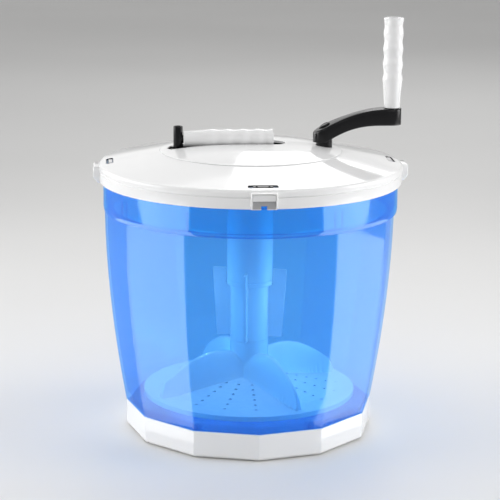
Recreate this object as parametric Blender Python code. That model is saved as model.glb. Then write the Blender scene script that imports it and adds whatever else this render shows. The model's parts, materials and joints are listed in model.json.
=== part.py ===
"""Manual shoe washing machine: twelve sided tub, geared lid, crank and hanging agitator.

Metres, +Z up. The origin is on the tub's axis at the surface it stands on, -Y is the front.
"""

import math

import bmesh
import bpy
from mathutils import Matrix, Vector

# Clearances
FIT_GAP = 0.0003
RUNNING_GAP = 0.0005
CUT_OVERRUN = 0.003
MERGE_DISTANCE = 0.000001
WALL = 0.0025

# Fineness of round pieces
FINE_STEPS = 48
ROUND_STEPS = 28
SMALL_STEPS = 12
SCREW_STEPS = 10
HOLE_STEPS = 5
OUTLINE_STEPS = 18
FLARE_STEPS = 4
DOME_STEPS = 3
CORE_STEPS = 8
SLOT_STEPS = 10
SLOT_WALL_STEPS = 8
SHARP_ANGLE = math.radians(24)

# Tub
SIDE_COUNT = 12
RIM_HEIGHT = 0.2575
COLLAR_RADIUS = 0.144
COLLAR_HEIGHT = 0.0325
COLLAR_STEP = 0.0025
COLLAR_OVERHANG = 0.0012
COLLAR_CHAMFER = 0.0008
TUB_TAPER = 0.0199
TUB_BELLY_POWER = 1.8
TUB_LEVELS = 6
TUB_SINK = 0.009
RIM_BEAD = 0.0014
RIM_BEAD_HEIGHT = 0.0018
PIVOT_BOSS_RADIUS = 0.0085
PIVOT_BOSS_RISE = 0.014
PIVOT_PIN_RADIUS = 0.004
PIVOT_PIN_RISE = 0.024
PIVOT_PIN_DEPTH = 0.010
LUG_WIDTH = 0.0046
LUG_HEIGHT = 0.0025
LUG_DROP = 0.0075
LUG_REACH = 0.0056

# Base
BASE_HEIGHT = 0.027
BASE_GROUND_GAP = 0.0012
BASE_CHAMFER = 0.002
FOOT_INSET = 0.0276
FOOT_RADIUS = 0.009
FOOT_PLUG_RADIUS = 0.003
FOOT_PLUG_RISE = 0.0023
BASE_SCREW_INSET = 0.017
BASE_PAD_RIM = 0.0045
BASE_PAD_HEIGHT = 0.0035
SCREW_HEAD_RIM = 0.0017
SCREW_HEAD_HEIGHT = 0.0024
SCREW_SHANK_RADIUS = 0.0018
SCREW_BOSS_WALL = 0.0027
BASE_SCREW_LENGTH = 0.013

# Lid
LID_OVERLAP = 0.008
LID_OVERHANG = 0.0042
LID_SKIRT_WALL = 0.0025
LID_DOME_RISE = 0.0185
LID_DISC_SHARE = 0.5972
LID_DISC_DOME = 0.0057
LID_STEP_HEIGHT = 0.0022
LID_STEP_RUN = 0.002
LID_RIM_RISE = 0.0055
LID_RIM_ROUND = 0.004
LID_GROOVE_RISE = 0.0105
LID_GROOVE_DEPTH = 0.0008
LID_GROOVE_WIDTH = 0.0008
LID_SEAT_LEDGE = 0.007
SEAL_HEIGHT = 0.0039
SEAL_INNER_MARGIN = 0.0015
SEAL_OUTER_MARGIN = 0.0002

# Latches
LATCH_COUNT = 4
HOUSING_PROUD = 0.0055
HOUSING_DROP = 0.002
HOUSING_WALL = 0.0017
POCKET_WALL = 0.0016
CLIP_THICKNESS = 0.0019
CLIP_FACE_HEIGHT = 0.006
CLIP_FACE_SIDE = 0.0023
CLIP_WEB_WIDTH = 0.016
CLIP_LEG_SIDE = 0.001
CLIP_LEG_INSET = 0.0124
CLIP_LEG_THICKNESS = 0.003
CLIP_HOOK_WIDTH = 0.007
CLIP_HOOK_THICKNESS = 0.0013
CLIP_HOOK_LENGTH = 0.009
CLIP_TRAVEL = 0.0016
WINDOW_SIDE = 0.005
WINDOW_BACK = 0.0016
WINDOW_FRONT = 0.0022

# Gearing
CRANK_TEETH = 48
DRIVE_TEETH = 24
GEAR_LID_MARGIN = 0.010
GEAR_SEAT_DROP = 0.0045
GEAR_THICKNESS = 0.0075
GEAR_BACKLASH = 0.0005
GEAR_TIP_CUT = 0.0002
GEAR_ROOT_SHARE = 1.25
PRESSURE_SLOPE = math.tan(math.radians(20))
COVER_DEPTH = 0.005
COVER_WALL_RISE = 0.001
COVER_CLEARANCE = 0.0025
EAR_RIM = 0.0034
EAR_CRANK_ANGLES = (40, -40, 100, -100)
EAR_DRIVE_ANGLES = (140, -140)
COVER_SCREW_RISE = 0.0035

# Drive tube
TUBE_WALL = 0.0038
TUBE_DROP = 0.1054
TUBE_SOCKET_DEPTH = 0.0634
TUBE_LEAD_IN = 0.001
SPIGOT_HEX_RIM = 0.0022
JOURNAL_RADIUS = 0.0115
JOURNAL_TOP_GAP = 0.0009
RING_GROOVE_DEPTH = 0.0012
RING_THICKNESS = 0.0009
RING_WIDTH = 0.004
BUSH_WALL = 0.0025
FLANGE_HEIGHT = 0.0012
FLANGE_REACH = 0.0024
CENTRE_BUSH_RISE = 0.0025
BOSS_WALL = 0.003

# Crank
SHAFT_RADIUS = 0.004
SHAFT_HEX_RIM = 0.0006
SHAFT_COLLAR_RIM = 0.003
SHAFT_TAIL = 0.0025
SHAFT_SOCKET_DEPTH = 0.0075
ARM_REACH = 0.066
ARM_BOSS_WALL = 0.0038
ARM_BOSS_SINK = 0.0052
ARM_HUB_RIM = 0.0033
ARM_WAIST_HALF = 0.0082
ARM_END_RIM = 0.00165
ARM_LID_GAP = 0.0002
ARM_HUB_HEIGHT = 0.0095
ARM_END_RISE = 0.0166
ARM_END_HEIGHT = 0.0165
ARM_STATIONS = 9
ARM_END_STEPS = 4
ARM_UNDERSIDE_POWER = 2.3
ARM_TOP_POWER = 1.85
ARM_EDGE = 0.0012
ARM_RECESS_MARGIN = 0.0018
ARM_RECESS_FLOOR_WALL = 0.003
CRANK_SCREW_LENGTH = 0.009
CRANK_SCREW_HOLE_SPARE = 0.0055
CRANK_CAP_RISE = 0.0083

# Grips
GRIP_LENGTH = 0.0875
GRIP_PLAIN_LENGTH = 0.024
GRIP_RIM_WALL = 0.00155
GRIP_WAVE_RISE = 0.0016
GRIP_TAPER_POWER = 1.3
GRIP_WAVE_SWELL = 0.00045
GRIP_WAVE_COUNT = 4
GRIP_PART_WAVE_SHARE = 0.25
GRIP_STEPS = 16
GRIP_RINGS_PER_WAVE = 5
GRIP_END_ROUND = 0.0008
GRIP_PIN_RADIUS = 0.004
GRIP_BORE_CLEARANCE = 0.0005
GRIP_PIN_HEAD_RIM = 0.0016
GRIP_PIN_HEAD_HEIGHT = 0.0022
GRIP_MOUTH_CLEARANCE = 0.0006
GRIP_MOUTH_DEPTH = 0.007
GRIP_PIN_SEAT_DEPTH = 0.011

# Side handle
HANDLE_PIVOT_INSET = 0.0038
HANDLE_PIVOT_DROP = 0.0063
HANDLE_POST_INSET = 0.0104
HANDLE_POST_RADIUS = 0.00455
HANDLE_POST_FLOOR_GAP = 0.0025
HANDLE_POST_RISE = 0.0128
HANDLE_LUG_RADIUS = 0.003
HANDLE_LUG_WIDTH = 0.006
HANDLE_AXIS_RISE = 0.0037
HANDLE_PIN_RADIUS = 0.0013
HANDLE_PIN_SINK = 0.0022
SLOT_EDGE_MARGIN = 0.007
SLOT_END_GAP = 0.01205
SLOT_SIDE_GAP = 0.0017
SLOT_DEPTH = 0.0115
SLOT_FLOOR_THICKNESS = 0.0024

# Agitator
PLATE_INSET = 0.0179
PLATE_RIM_RISE = 0.0075
PLATE_RIM_DEPTH = 0.005
PLATE_RIM_WIDTH = 0.021
PLATE_THICKNESS = 0.0026
PLATE_OUTER_RISE = 0.0015
PLATE_INNER_RISE = 0.0115
HUB_RISE = 0.0485
HUB_GEAR_MARGIN = 0.005
HUB_FLARE = 0.017
HUB_WALL = 0.0067
HUB_BORE_RISE = 0.022
HUB_FOOT_WALL = 0.004
THRUST_WASHER_THICKNESS = 0.001
THRUST_WASHER_WIDTH = 0.004
PIVOT_BUSH_WALL = 0.003
PIVOT_BUSH_RISE = 0.0185
FIN_COUNT = 4
FIN_PHASE = math.radians(24.7)
FIN_BASE_HALF = 0.0068
FIN_WAIST_HALF = 0.0046
FIN_CREST_HALF = 0.0033
FIN_TIP_HALF = 0.0016
FIN_WAIST_SHARE = 0.35
FIN_CREST_SHARE = 0.88
FIN_END_INSET = 0.0065
FIN_PEAK_RISE = 0.0385
# Distance from the axis as a share of the fin's end, and height from rim to peak as a share
FIN_CREST_SHARES = ((0.152, 0.90), (0.223, 0.97), (0.376, 1.0), (0.558, 0.961), (0.670, 0.831),
                    (0.792, 0.623), (0.893, 0.403), (0.964, 0.221), (1.0, 0.04))
DRAIN_ROWS = 3
DRAIN_ROW_ANGLE = math.radians(21.2)
DRAIN_COUNT = 6
DRAIN_EDGE_INSET = 0.0015
DRAIN_HOLE_RADIUS = 0.0013

# Column
COLUMN_TOP_GAP = 0.003
COLUMN_WALL = 0.006
COLUMN_FLOOR = 0.007
VANE_COUNT = 4
VANE_PHASE = math.radians(-12.8)
VANE_PROUD = 0.013
VANE_HALF = 0.0012
VANE_FOOT_GAP = 0.003
VANE_OVERLAP = 0.0154
VANE_TUBE_GAP = 0.0006

# Colours, roughness and metallic value of each finish
FINISHES = {
    "tub_blue": ((0.035, 0.225, 0.80, 0.45), 0.12, 0.0),
    "lid_white": ((0.86, 0.86, 0.87, 1.0), 0.18, 0.0),
    "agitator_white": ((0.80, 0.83, 0.88, 1.0), 0.30, 0.0),
    "gear_plastic": ((0.74, 0.73, 0.68, 1.0), 0.40, 0.0),
    "arm_black": ((0.012, 0.013, 0.015, 1.0), 0.30, 0.0),
    "steel": ((0.55, 0.56, 0.58, 1.0), 0.30, 1.0),
    "brass": ((0.62, 0.45, 0.20, 1.0), 0.35, 1.0),
    "seal_rubber": ((0.45, 0.46, 0.47, 1.0), 0.70, 0.0),
    "foot_rubber": ((0.05, 0.05, 0.055, 1.0), 0.80, 0.0),
}

# Heights worked out from the sizes above, from the ground up
FACET_SHARE = math.cos(math.pi / SIDE_COUNT)
HEX_SHARE = math.cos(math.pi / 6)
TUB_FLOOR_BOTTOM = BASE_HEIGHT - TUB_SINK
PIVOT_BOSS_HEIGHT = TUB_FLOOR_BOTTOM + PIVOT_BOSS_RISE
PIVOT_PIN_TOP = PIVOT_BOSS_HEIGHT + PIVOT_PIN_RISE
PLATE_RIM_HEIGHT = PIVOT_BOSS_HEIGHT + PLATE_RIM_RISE
PLATE_CONE_OUTER_HEIGHT = PLATE_RIM_HEIGHT + PLATE_OUTER_RISE
PLATE_CONE_INNER_HEIGHT = PLATE_RIM_HEIGHT + PLATE_INNER_RISE
HUB_TOP = PLATE_RIM_HEIGHT + HUB_RISE
HUB_BORE_BOTTOM = PLATE_RIM_HEIGHT + HUB_BORE_RISE
PIVOT_BUSH_TOP = PLATE_RIM_HEIGHT + PIVOT_BUSH_RISE
FIN_PEAK_HEIGHT = PLATE_RIM_HEIGHT + FIN_PEAK_RISE
COLLAR_BOTTOM = RIM_HEIGHT - COLLAR_HEIGHT
TUB_SHOULDER_HEIGHT = COLLAR_BOTTOM - COLLAR_STEP
LUG_BOTTOM = RIM_HEIGHT - LUG_DROP
LID_BOTTOM = RIM_HEIGHT - LID_OVERLAP
LID_SEAT_HEIGHT = RIM_HEIGHT + SEAL_HEIGHT + 2 * FIT_GAP
LID_RIM_TOP = LID_SEAT_HEIGHT + LID_RIM_RISE
LID_CENTRE_HEIGHT = LID_RIM_TOP + LID_DOME_RISE
LID_RING_HEIGHT = LID_CENTRE_HEIGHT - LID_DISC_DOME - LID_STEP_HEIGHT
LID_GROOVE_HEIGHT = LID_BOTTOM + LID_GROOVE_RISE
HOUSING_TOP = LID_RIM_TOP - HOUSING_DROP
GEAR_BOTTOM = LID_SEAT_HEIGHT - GEAR_SEAT_DROP
GEAR_TOP = GEAR_BOTTOM + GEAR_THICKNESS
COVER_FLOOR_BOTTOM = GEAR_BOTTOM - COVER_DEPTH - WALL
COVER_WALL_TOP = GEAR_TOP + COVER_WALL_RISE
COVER_SCREW_TOP = COVER_WALL_TOP + COVER_SCREW_RISE
CENTRE_BUSH_BOTTOM = GEAR_TOP + CENTRE_BUSH_RISE
SLOT_FLOOR = LID_CENTRE_HEIGHT - SLOT_DEPTH
JOURNAL_TOP = SLOT_FLOOR - SLOT_FLOOR_THICKNESS - JOURNAL_TOP_GAP
TUBE_BOTTOM = COVER_FLOOR_BOTTOM - TUBE_DROP
TUBE_HEX_TOP = TUBE_BOTTOM + TUBE_SOCKET_DEPTH
TUBE_BORE_TOP = COVER_FLOOR_BOTTOM
COLUMN_HEX_TOP = TUBE_HEX_TOP - COLUMN_TOP_GAP
COLUMN_HOLLOW_BOTTOM = HUB_TOP + COLUMN_FLOOR
VANE_BOTTOM = HUB_TOP + VANE_FOOT_GAP
VANE_TOP = TUBE_BOTTOM + VANE_OVERLAP
SHAFT_BOTTOM = COVER_FLOOR_BOTTOM - SHAFT_TAIL
ARM_BOSS_BOTTOM = LID_CENTRE_HEIGHT - ARM_BOSS_SINK
ARM_BOTTOM = LID_CENTRE_HEIGHT + ARM_LID_GAP
ARM_TOP = ARM_BOTTOM + ARM_HUB_HEIGHT
ARM_END_BOTTOM = ARM_BOTTOM + ARM_END_RISE
ARM_END_TOP = ARM_END_BOTTOM + ARM_END_HEIGHT
SHAFT_TOP = ARM_BOTTOM + SHAFT_SOCKET_DEPTH
ARM_RECESS_FLOOR = SHAFT_TOP + ARM_RECESS_FLOOR_WALL
CRANK_SCREW_HOLE_BOTTOM = ARM_RECESS_FLOOR - CRANK_SCREW_LENGTH - CRANK_SCREW_HOLE_SPARE
CRANK_CAP_TOP = ARM_RECESS_FLOOR + CRANK_CAP_RISE
HANDLE_PIVOT_Z = LID_CENTRE_HEIGHT - HANDLE_PIVOT_DROP
HANDLE_AXIS_HEIGHT = LID_CENTRE_HEIGHT + HANDLE_AXIS_RISE
HANDLE_POST_BOTTOM = SLOT_FLOOR + HANDLE_POST_FLOOR_GAP
HANDLE_POST_TOP = HANDLE_AXIS_HEIGHT + HANDLE_POST_RISE

# Radii and places worked out in the same way, from the tub's collar
TUB_SHOULDER_RADIUS = COLLAR_RADIUS - COLLAR_OVERHANG
TUB_FOOT_RADIUS = TUB_SHOULDER_RADIUS - TUB_TAPER
BASE_RADIUS = TUB_FOOT_RADIUS - FIT_GAP
FOOT_CIRCLE = BASE_RADIUS - FOOT_INSET
FOOT_PLUG_LENGTH = BASE_GROUND_GAP + WALL + FOOT_PLUG_RISE
BASE_SCREW_CIRCLE = FOOT_CIRCLE - BASE_SCREW_INSET
SCREW_HEAD_RADIUS = SCREW_SHANK_RADIUS + SCREW_HEAD_RIM
SCREW_BOSS_RADIUS = SCREW_SHANK_RADIUS + FIT_GAP + SCREW_BOSS_WALL
BASE_PAD_RADIUS = SCREW_HEAD_RADIUS + RUNNING_GAP + BASE_PAD_RIM
EAR_RADIUS = SCREW_SHANK_RADIUS + EAR_RIM
LID_RADIUS = COLLAR_RADIUS + LID_OVERHANG
LID_RIM_RADIUS = LID_RADIUS - LID_RIM_ROUND
LID_DISC_RADIUS = LID_RADIUS * LID_DISC_SHARE
LID_RING_INNER = LID_DISC_RADIUS + LID_STEP_RUN
LID_SEAT_INNER = COLLAR_RADIUS - LID_SEAT_LEDGE
SEAL_INNER = LID_SEAT_INNER + SEAL_INNER_MARGIN
SEAL_OUTER = COLLAR_RADIUS - SEAL_OUTER_MARGIN
POCKET_FLOOR_RADIUS = LID_RADIUS + POCKET_WALL
CLIP_LEG_RADIUS = LID_RADIUS - CLIP_LEG_INSET
CLIP_LEG_WIDTH = CLIP_WEB_WIDTH + 2 * CLIP_LEG_SIDE
CLIP_FACE_WIDTH = CLIP_WEB_WIDTH + 2 * CLIP_FACE_SIDE
HOUSING_WIDTH = CLIP_FACE_WIDTH + 2 * (FIT_GAP + HOUSING_WALL)
WINDOW_WIDTH = CLIP_LEG_WIDTH + 2 * WINDOW_SIDE
WINDOW_INNER = CLIP_LEG_RADIUS - WINDOW_BACK
WINDOW_OUTER = CLIP_LEG_RADIUS + CLIP_LEG_THICKNESS + WINDOW_FRONT
# The gears fill the room under the lid from its centre to the seat, less the cover's wall
GEAR_ROOM = LID_SEAT_INNER - GEAR_LID_MARGIN - WALL - COVER_CLEARANCE
GEAR_MODULE = GEAR_ROOM / (CRANK_TEETH + DRIVE_TEETH / 2 + 1)
GEAR_SPACING = GEAR_MODULE * (CRANK_TEETH + DRIVE_TEETH) / 2
HUB_RADIUS = GEAR_MODULE * DRIVE_TEETH / 2 - HUB_GEAR_MARGIN
TUBE_HEX_RADIUS = HUB_RADIUS
TUBE_RADIUS = TUBE_HEX_RADIUS + TUBE_WALL
SPIGOT_HEX_RADIUS = JOURNAL_RADIUS + SPIGOT_HEX_RIM
SHAFT_HEX_RADIUS = SHAFT_RADIUS + SHAFT_HEX_RIM
SHAFT_COLLAR_RADIUS = SHAFT_RADIUS + SHAFT_COLLAR_RIM
BUSH_BORE_RADIUS = SHAFT_RADIUS + FIT_GAP
BUSH_OUTER_RADIUS = BUSH_BORE_RADIUS + BUSH_WALL
GRIP_BORE_RADIUS = GRIP_PIN_RADIUS + GRIP_BORE_CLEARANCE
GRIP_PIN_HEAD_RADIUS = GRIP_PIN_RADIUS + GRIP_PIN_HEAD_RIM
GRIP_MOUTH_RADIUS = GRIP_PIN_HEAD_RADIUS + GRIP_MOUTH_CLEARANCE
GRIP_PLAIN_RADIUS = GRIP_MOUTH_RADIUS + GRIP_RIM_WALL
GRIP_WAVE_RADIUS = GRIP_PLAIN_RADIUS + GRIP_WAVE_RISE
ARM_BOSS_RADIUS = SHAFT_RADIUS + ARM_BOSS_WALL
ARM_HUB_RADIUS = ARM_BOSS_RADIUS + ARM_HUB_RIM
ARM_END_RADIUS = GRIP_PLAIN_RADIUS + ARM_END_RIM
ARM_RECESS_RADIUS = SCREW_HEAD_RADIUS + ARM_RECESS_MARGIN
SLOT_LEFT = SLOT_EDGE_MARGIN - LID_DISC_RADIUS
HANDLE_PIVOT_X = SLOT_LEFT + HANDLE_PIVOT_INSET
HANDLE_POST_X = SLOT_LEFT + HANDLE_POST_INSET
SLOT_RIGHT = HANDLE_POST_X + HANDLE_POST_RADIUS + RUNNING_GAP + GRIP_LENGTH + SLOT_END_GAP
SLOT_HALF_WIDTH = GRIP_WAVE_RADIUS + GRIP_WAVE_SWELL + SLOT_SIDE_GAP
PLATE_RADIUS = TUB_FOOT_RADIUS - PLATE_INSET
PLATE_CONE_OUTER = PLATE_RADIUS - PLATE_RIM_WIDTH
PLATE_CONE_INNER = HUB_RADIUS + HUB_FLARE
HUB_BORE_RADIUS = HUB_RADIUS - HUB_WALL
PIVOT_BUSH_RADIUS = PIVOT_PIN_RADIUS + PIVOT_BUSH_WALL
HUB_FOOT_RADIUS = PIVOT_BUSH_RADIUS + HUB_FOOT_WALL
THRUST_WASHER_RADIUS = PIVOT_PIN_RADIUS + THRUST_WASHER_WIDTH
FIN_END_RADIUS = PLATE_RADIUS - FIN_END_INSET
DRAIN_FIRST_RADIUS = PLATE_CONE_INNER
DRAIN_LAST_RADIUS = PLATE_CONE_OUTER - DRAIN_EDGE_INSET
COLUMN_HOLLOW_RADIUS = HUB_RADIUS - COLUMN_WALL
VANE_REACH = TUBE_RADIUS + VANE_PROUD
CRANK_CENTRE = Vector((GEAR_SPACING, 0, 0))
GRIP_CENTRE = Vector((GEAR_SPACING + ARM_REACH, 0, 0))
HANDLE_PIVOT = Vector((HANDLE_PIVOT_X, 0, HANDLE_PIVOT_Z))


# Mesh helpers
def finish_material(slot):
    """Returns the material of a finish, made the first time that it is asked for."""
    material = bpy.data.materials.get(slot)
    if material is None:
        color, roughness, metallic = FINISHES[slot]
        material = bpy.data.materials.new(slot)
        material.use_nodes = True
        shader = material.node_tree.nodes["Principled BSDF"]
        shader.inputs["Base Color"].default_value = (*color[:3], 1.0)
        shader.inputs["Alpha"].default_value = color[3]
        shader.inputs["Roughness"].default_value = roughness
        shader.inputs["Metallic"].default_value = metallic
        material.diffuse_color = color
    return material


def solid(shape, name="shape"):
    """Turns a bmesh into an object and frees the bmesh."""
    bmesh.ops.remove_doubles(shape, verts=shape.verts, dist=MERGE_DISTANCE)
    bmesh.ops.recalc_face_normals(shape, faces=shape.faces)
    mesh = bpy.data.meshes.new(name)
    shape.to_mesh(mesh)
    shape.free()
    item = bpy.data.objects.new(name, mesh)
    bpy.context.scene.collection.objects.link(item)
    return item


def turned(profile, steps, closed=False):
    """Spins (radius, height) points about Z. An open profile starts and ends on the axis."""
    shape = bmesh.new()
    points = [shape.verts.new((radius, 0, height)) for radius, height in profile]
    pairs = list(zip(points, points[1:]))
    if closed:
        pairs.append((points[-1], points[0]))
    edges = [shape.edges.new(pair) for pair in pairs]
    bmesh.ops.spin(shape, geom=points + edges, cent=(0, 0, 0), axis=(0, 0, 1),
                   angle=math.tau, steps=steps, use_merge=True)
    return solid(shape)


def prism(outline, bottom, top):
    """Extrudes a closed (x, y) outline from one height to another."""
    shape = bmesh.new()
    face = shape.faces.new([shape.verts.new((x, y, bottom)) for x, y in outline])
    grown = bmesh.ops.extrude_face_region(shape, geom=[face])
    risen = [part for part in grown["geom"] if isinstance(part, bmesh.types.BMVert)]
    bmesh.ops.translate(shape, vec=(0, 0, top - bottom), verts=risen)
    return solid(shape)


def loft(rings):
    """Joins closed rings of equally many points, with a face over the first and the last."""
    shape = bmesh.new()
    rows = [[shape.verts.new(point) for point in ring] for ring in rings]
    count = len(rows[0])
    for lower, upper in zip(rows, rows[1:]):
        for index in range(count):
            following = (index + 1) % count
            shape.faces.new((lower[index], lower[following], upper[following], upper[index]))
    shape.faces.new(rows[0])
    shape.faces.new(rows[-1])
    return solid(shape)


def circle(radius, steps, x=0.0, y=0.0, phase=0.0):
    """Returns the (x, y) points of a regular outline."""
    angles = [phase + math.tau * step / steps for step in range(steps)]
    return [(x + radius * math.cos(angle), y + radius * math.sin(angle)) for angle in angles]


def disc(radius, bottom, top, steps=ROUND_STEPS, x=0.0, y=0.0):
    return prism(circle(radius, steps, x, y), bottom, top)


def hexagon(radius, bottom, top):
    return prism(circle(radius, 6), bottom, top)


def ring(inner, outer, bottom, top, steps=ROUND_STEPS):
    """Makes a plain ring with a square section."""
    return turned(((inner, bottom), (outer, bottom), (outer, top), (inner, top)), steps, closed=True)


def block(low, high):
    """Makes a box between two corners."""
    outline = ((low[0], low[1]), (high[0], low[1]), (high[0], high[1]), (low[0], high[1]))
    return prism(outline, low[2], high[2])


def capsule(left, right, half_width, steps):
    """Returns the outline of a slot with round ends along X."""
    points = []
    for step in range(steps + 1):
        angle = math.pi * step / steps - math.pi / 2
        points.append((right - half_width + half_width * math.cos(angle), half_width * math.sin(angle)))
    for step in range(steps + 1):
        angle = math.pi * step / steps + math.pi / 2
        points.append((left + half_width + half_width * math.cos(angle), half_width * math.sin(angle)))
    return points


def combine(target, tool, operation):
    """Applies one boolean to the target and removes the tool."""
    modifier = target.modifiers.new("combine", "BOOLEAN")
    modifier.operation = operation
    modifier.solver = "EXACT"
    modifier.object = tool
    graph = bpy.context.evaluated_depsgraph_get()
    result = bpy.data.meshes.new_from_object(target.evaluated_get(graph))
    target.modifiers.remove(modifier)
    spent = [target.data, tool.data]
    target.data = result
    bpy.data.objects.remove(tool)
    for mesh in spent:
        bpy.data.meshes.remove(mesh)
    return target


def add(target, *tools):
    for tool in tools:
        combine(target, tool, "UNION")
    return target


def cut(target, *tools):
    for tool in tools:
        combine(target, tool, "DIFFERENCE")
    return target


def gathered(items):
    """Joins separate, untouching shapes into one object, to be used as a single tool."""
    shape = bmesh.new()
    for item in items:
        shape.from_mesh(item.data)
        mesh = item.data
        bpy.data.objects.remove(item)
        bpy.data.meshes.remove(mesh)
    return solid(shape)


def turn(item, angle):
    """Turns a shape about the Z axis."""
    item.data.transform(Matrix.Rotation(angle, 4, "Z"))
    return item


def shift(item, x=0.0, y=0.0, z=0.0):
    item.data.transform(Matrix.Translation((x, y, z)))
    return item


def along_y(item):
    """Lays a shape built about Z along the Y axis."""
    item.data.transform(Matrix.Rotation(math.pi / 2, 4, "X"))
    return item


def along_x(item):
    """Lays a shape built about Z along the X axis."""
    item.data.transform(Matrix.Rotation(math.pi / 2, 4, "Y"))
    return item


def pivot(name, location=(0, 0, 0), parent=None):
    """Adds the empty that carries one moving body, on its joint's axis."""
    carrier = bpy.data.objects.new(name, None)
    bpy.context.scene.collection.objects.link(carrier)
    carrier.empty_display_size = LID_RADIUS / 4
    if parent is not None:
        carrier.parent = parent
    carrier.location = Vector(location) - (Vector(parent.location) if parent is not None else Vector())
    return carrier


def place(item, name, slot, carrier, sharp=SHARP_ANGLE):
    """Names a finished shape, gives it its material and hangs it on its body."""
    item.name = name
    item.data.name = name
    item.data.materials.clear()
    item.data.materials.append(finish_material(slot))
    item.parent = carrier
    item.data.shade_smooth()
    item.data.set_sharp_from_angle(angle=sharp)
    return item


def twelve_ring(radius, height):
    """Returns the corners of the tub's outline, with one corner at the front."""
    outline = circle(radius, SIDE_COUNT, phase=-math.pi / 2)
    return [(x, y, height) for x, y in outline]


def lid_surface(radius):
    """Height of the lid's top surface at a distance from the axis."""
    if radius <= LID_DISC_RADIUS:
        return LID_CENTRE_HEIGHT - LID_DISC_DOME * (radius / LID_DISC_RADIUS) ** 2
    share = (radius - LID_RING_INNER) / (LID_RIM_RADIUS - LID_RING_INNER)
    return LID_RING_HEIGHT + (LID_RIM_TOP - LID_RING_HEIGHT) * min(max(share, 0.0), 1.0)


def tub_radius(height):
    """Corner radius of the tub's outer wall at a height."""
    share = (TUB_SHOULDER_HEIGHT - height) / (TUB_SHOULDER_HEIGHT - BASE_HEIGHT)
    return TUB_SHOULDER_RADIUS - (TUB_SHOULDER_RADIUS - TUB_FOOT_RADIUS) * max(share, 0.0) ** TUB_BELLY_POWER


def quarter_points(radius):
    """Returns four points on a circle, between the front, sides and back."""
    return circle(radius, 4, phase=math.pi / 4)


# Tub
def tub_shell(carrier):
    """Twelve sided cup with a round collar, catch lugs, screw bosses and the pivot boss."""
    corner_wall = WALL / FACET_SHARE
    base_top = BASE_HEIGHT + FIT_GAP
    tongue_radius = BASE_RADIUS - corner_wall - FIT_GAP / FACET_SHARE
    rise = (TUB_SHOULDER_HEIGHT - base_top) / TUB_LEVELS
    levels = [base_top + rise * step for step in range(TUB_LEVELS + 1)]
    floor_top = TUB_FLOOR_BOTTOM + WALL
    rings = [twelve_ring(tongue_radius, TUB_FLOOR_BOTTOM), twelve_ring(tongue_radius, base_top)]
    rings += [twelve_ring(tub_radius(level), level) for level in levels]
    rings += [twelve_ring(tub_radius(level) - corner_wall, level) for level in reversed(levels[1:])]
    rings.append(twelve_ring(tongue_radius - corner_wall, base_top + WALL))
    rings.append(twelve_ring(tongue_radius - corner_wall - WALL, floor_top))
    shell = loft(rings)
    shelf_inner = (TUB_SHOULDER_RADIUS - corner_wall) * FACET_SHARE - WALL / 2
    collar_inner = COLLAR_RADIUS - WALL
    shelf_bottom = TUB_SHOULDER_HEIGHT - WALL / 2
    bead_top = RIM_HEIGHT - RUNNING_GAP
    bead_bottom = bead_top - RIM_BEAD_HEIGHT
    collar = turned((
        (shelf_inner, shelf_bottom),
        (COLLAR_RADIUS - COLLAR_CHAMFER, shelf_bottom),
        (COLLAR_RADIUS, COLLAR_BOTTOM),
        (COLLAR_RADIUS, bead_bottom),
        (COLLAR_RADIUS + RIM_BEAD, bead_bottom + RUNNING_GAP),
        (COLLAR_RADIUS + RIM_BEAD, bead_top),
        (COLLAR_RADIUS, RIM_HEIGHT),
        (collar_inner, RIM_HEIGHT),
        (collar_inner, COLLAR_BOTTOM + WALL),
        (collar_inner - WALL, shelf_bottom + WALL),
        (shelf_inner, shelf_bottom + WALL),
    ), FINE_STEPS, closed=True)
    add(shell, collar)
    lugs = []
    for index in range(LATCH_COUNT):
        lug = block((collar_inner + WALL / 2, -LUG_WIDTH / 2, LUG_BOTTOM),
                    (COLLAR_RADIUS + LUG_REACH, LUG_WIDTH / 2, LUG_BOTTOM + LUG_HEIGHT))
        lugs.append(turn(lug, math.tau * index / LATCH_COUNT))
    boss_bottom = BASE_GROUND_GAP + WALL + BASE_PAD_HEIGHT + FIT_GAP
    bosses = [disc(SCREW_BOSS_RADIUS, boss_bottom, TUB_FLOOR_BOTTOM + WALL / 2, SMALL_STEPS, x, y)
              for x, y in quarter_points(BASE_SCREW_CIRCLE)]
    floor_middle = TUB_FLOOR_BOTTOM + WALL / 2
    pivot_boss = turned(((0, floor_middle), (PIVOT_BOSS_RADIUS + WALL, floor_middle),
                         (PIVOT_BOSS_RADIUS, PIVOT_BOSS_HEIGHT), (0, PIVOT_BOSS_HEIGHT)), SMALL_STEPS)
    add(shell, gathered(lugs), gathered(bosses), pivot_boss)
    pin_hole_bottom = PIVOT_BOSS_HEIGHT - PIVOT_PIN_DEPTH - FIT_GAP
    screw_top = BASE_GROUND_GAP + WALL + BASE_SCREW_LENGTH
    screw_hole = SCREW_SHANK_RADIUS + FIT_GAP
    holes = [disc(screw_hole, boss_bottom - CUT_OVERRUN, screw_top + FIT_GAP, SCREW_STEPS, x, y)
             for x, y in quarter_points(BASE_SCREW_CIRCLE)]
    holes.append(disc(PIVOT_PIN_RADIUS + FIT_GAP, pin_hole_bottom, PIVOT_BOSS_HEIGHT + CUT_OVERRUN,
                      SMALL_STEPS))
    cut(shell, gathered(holes))
    place(shell, "tub_shell", "tub_blue", carrier)


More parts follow.
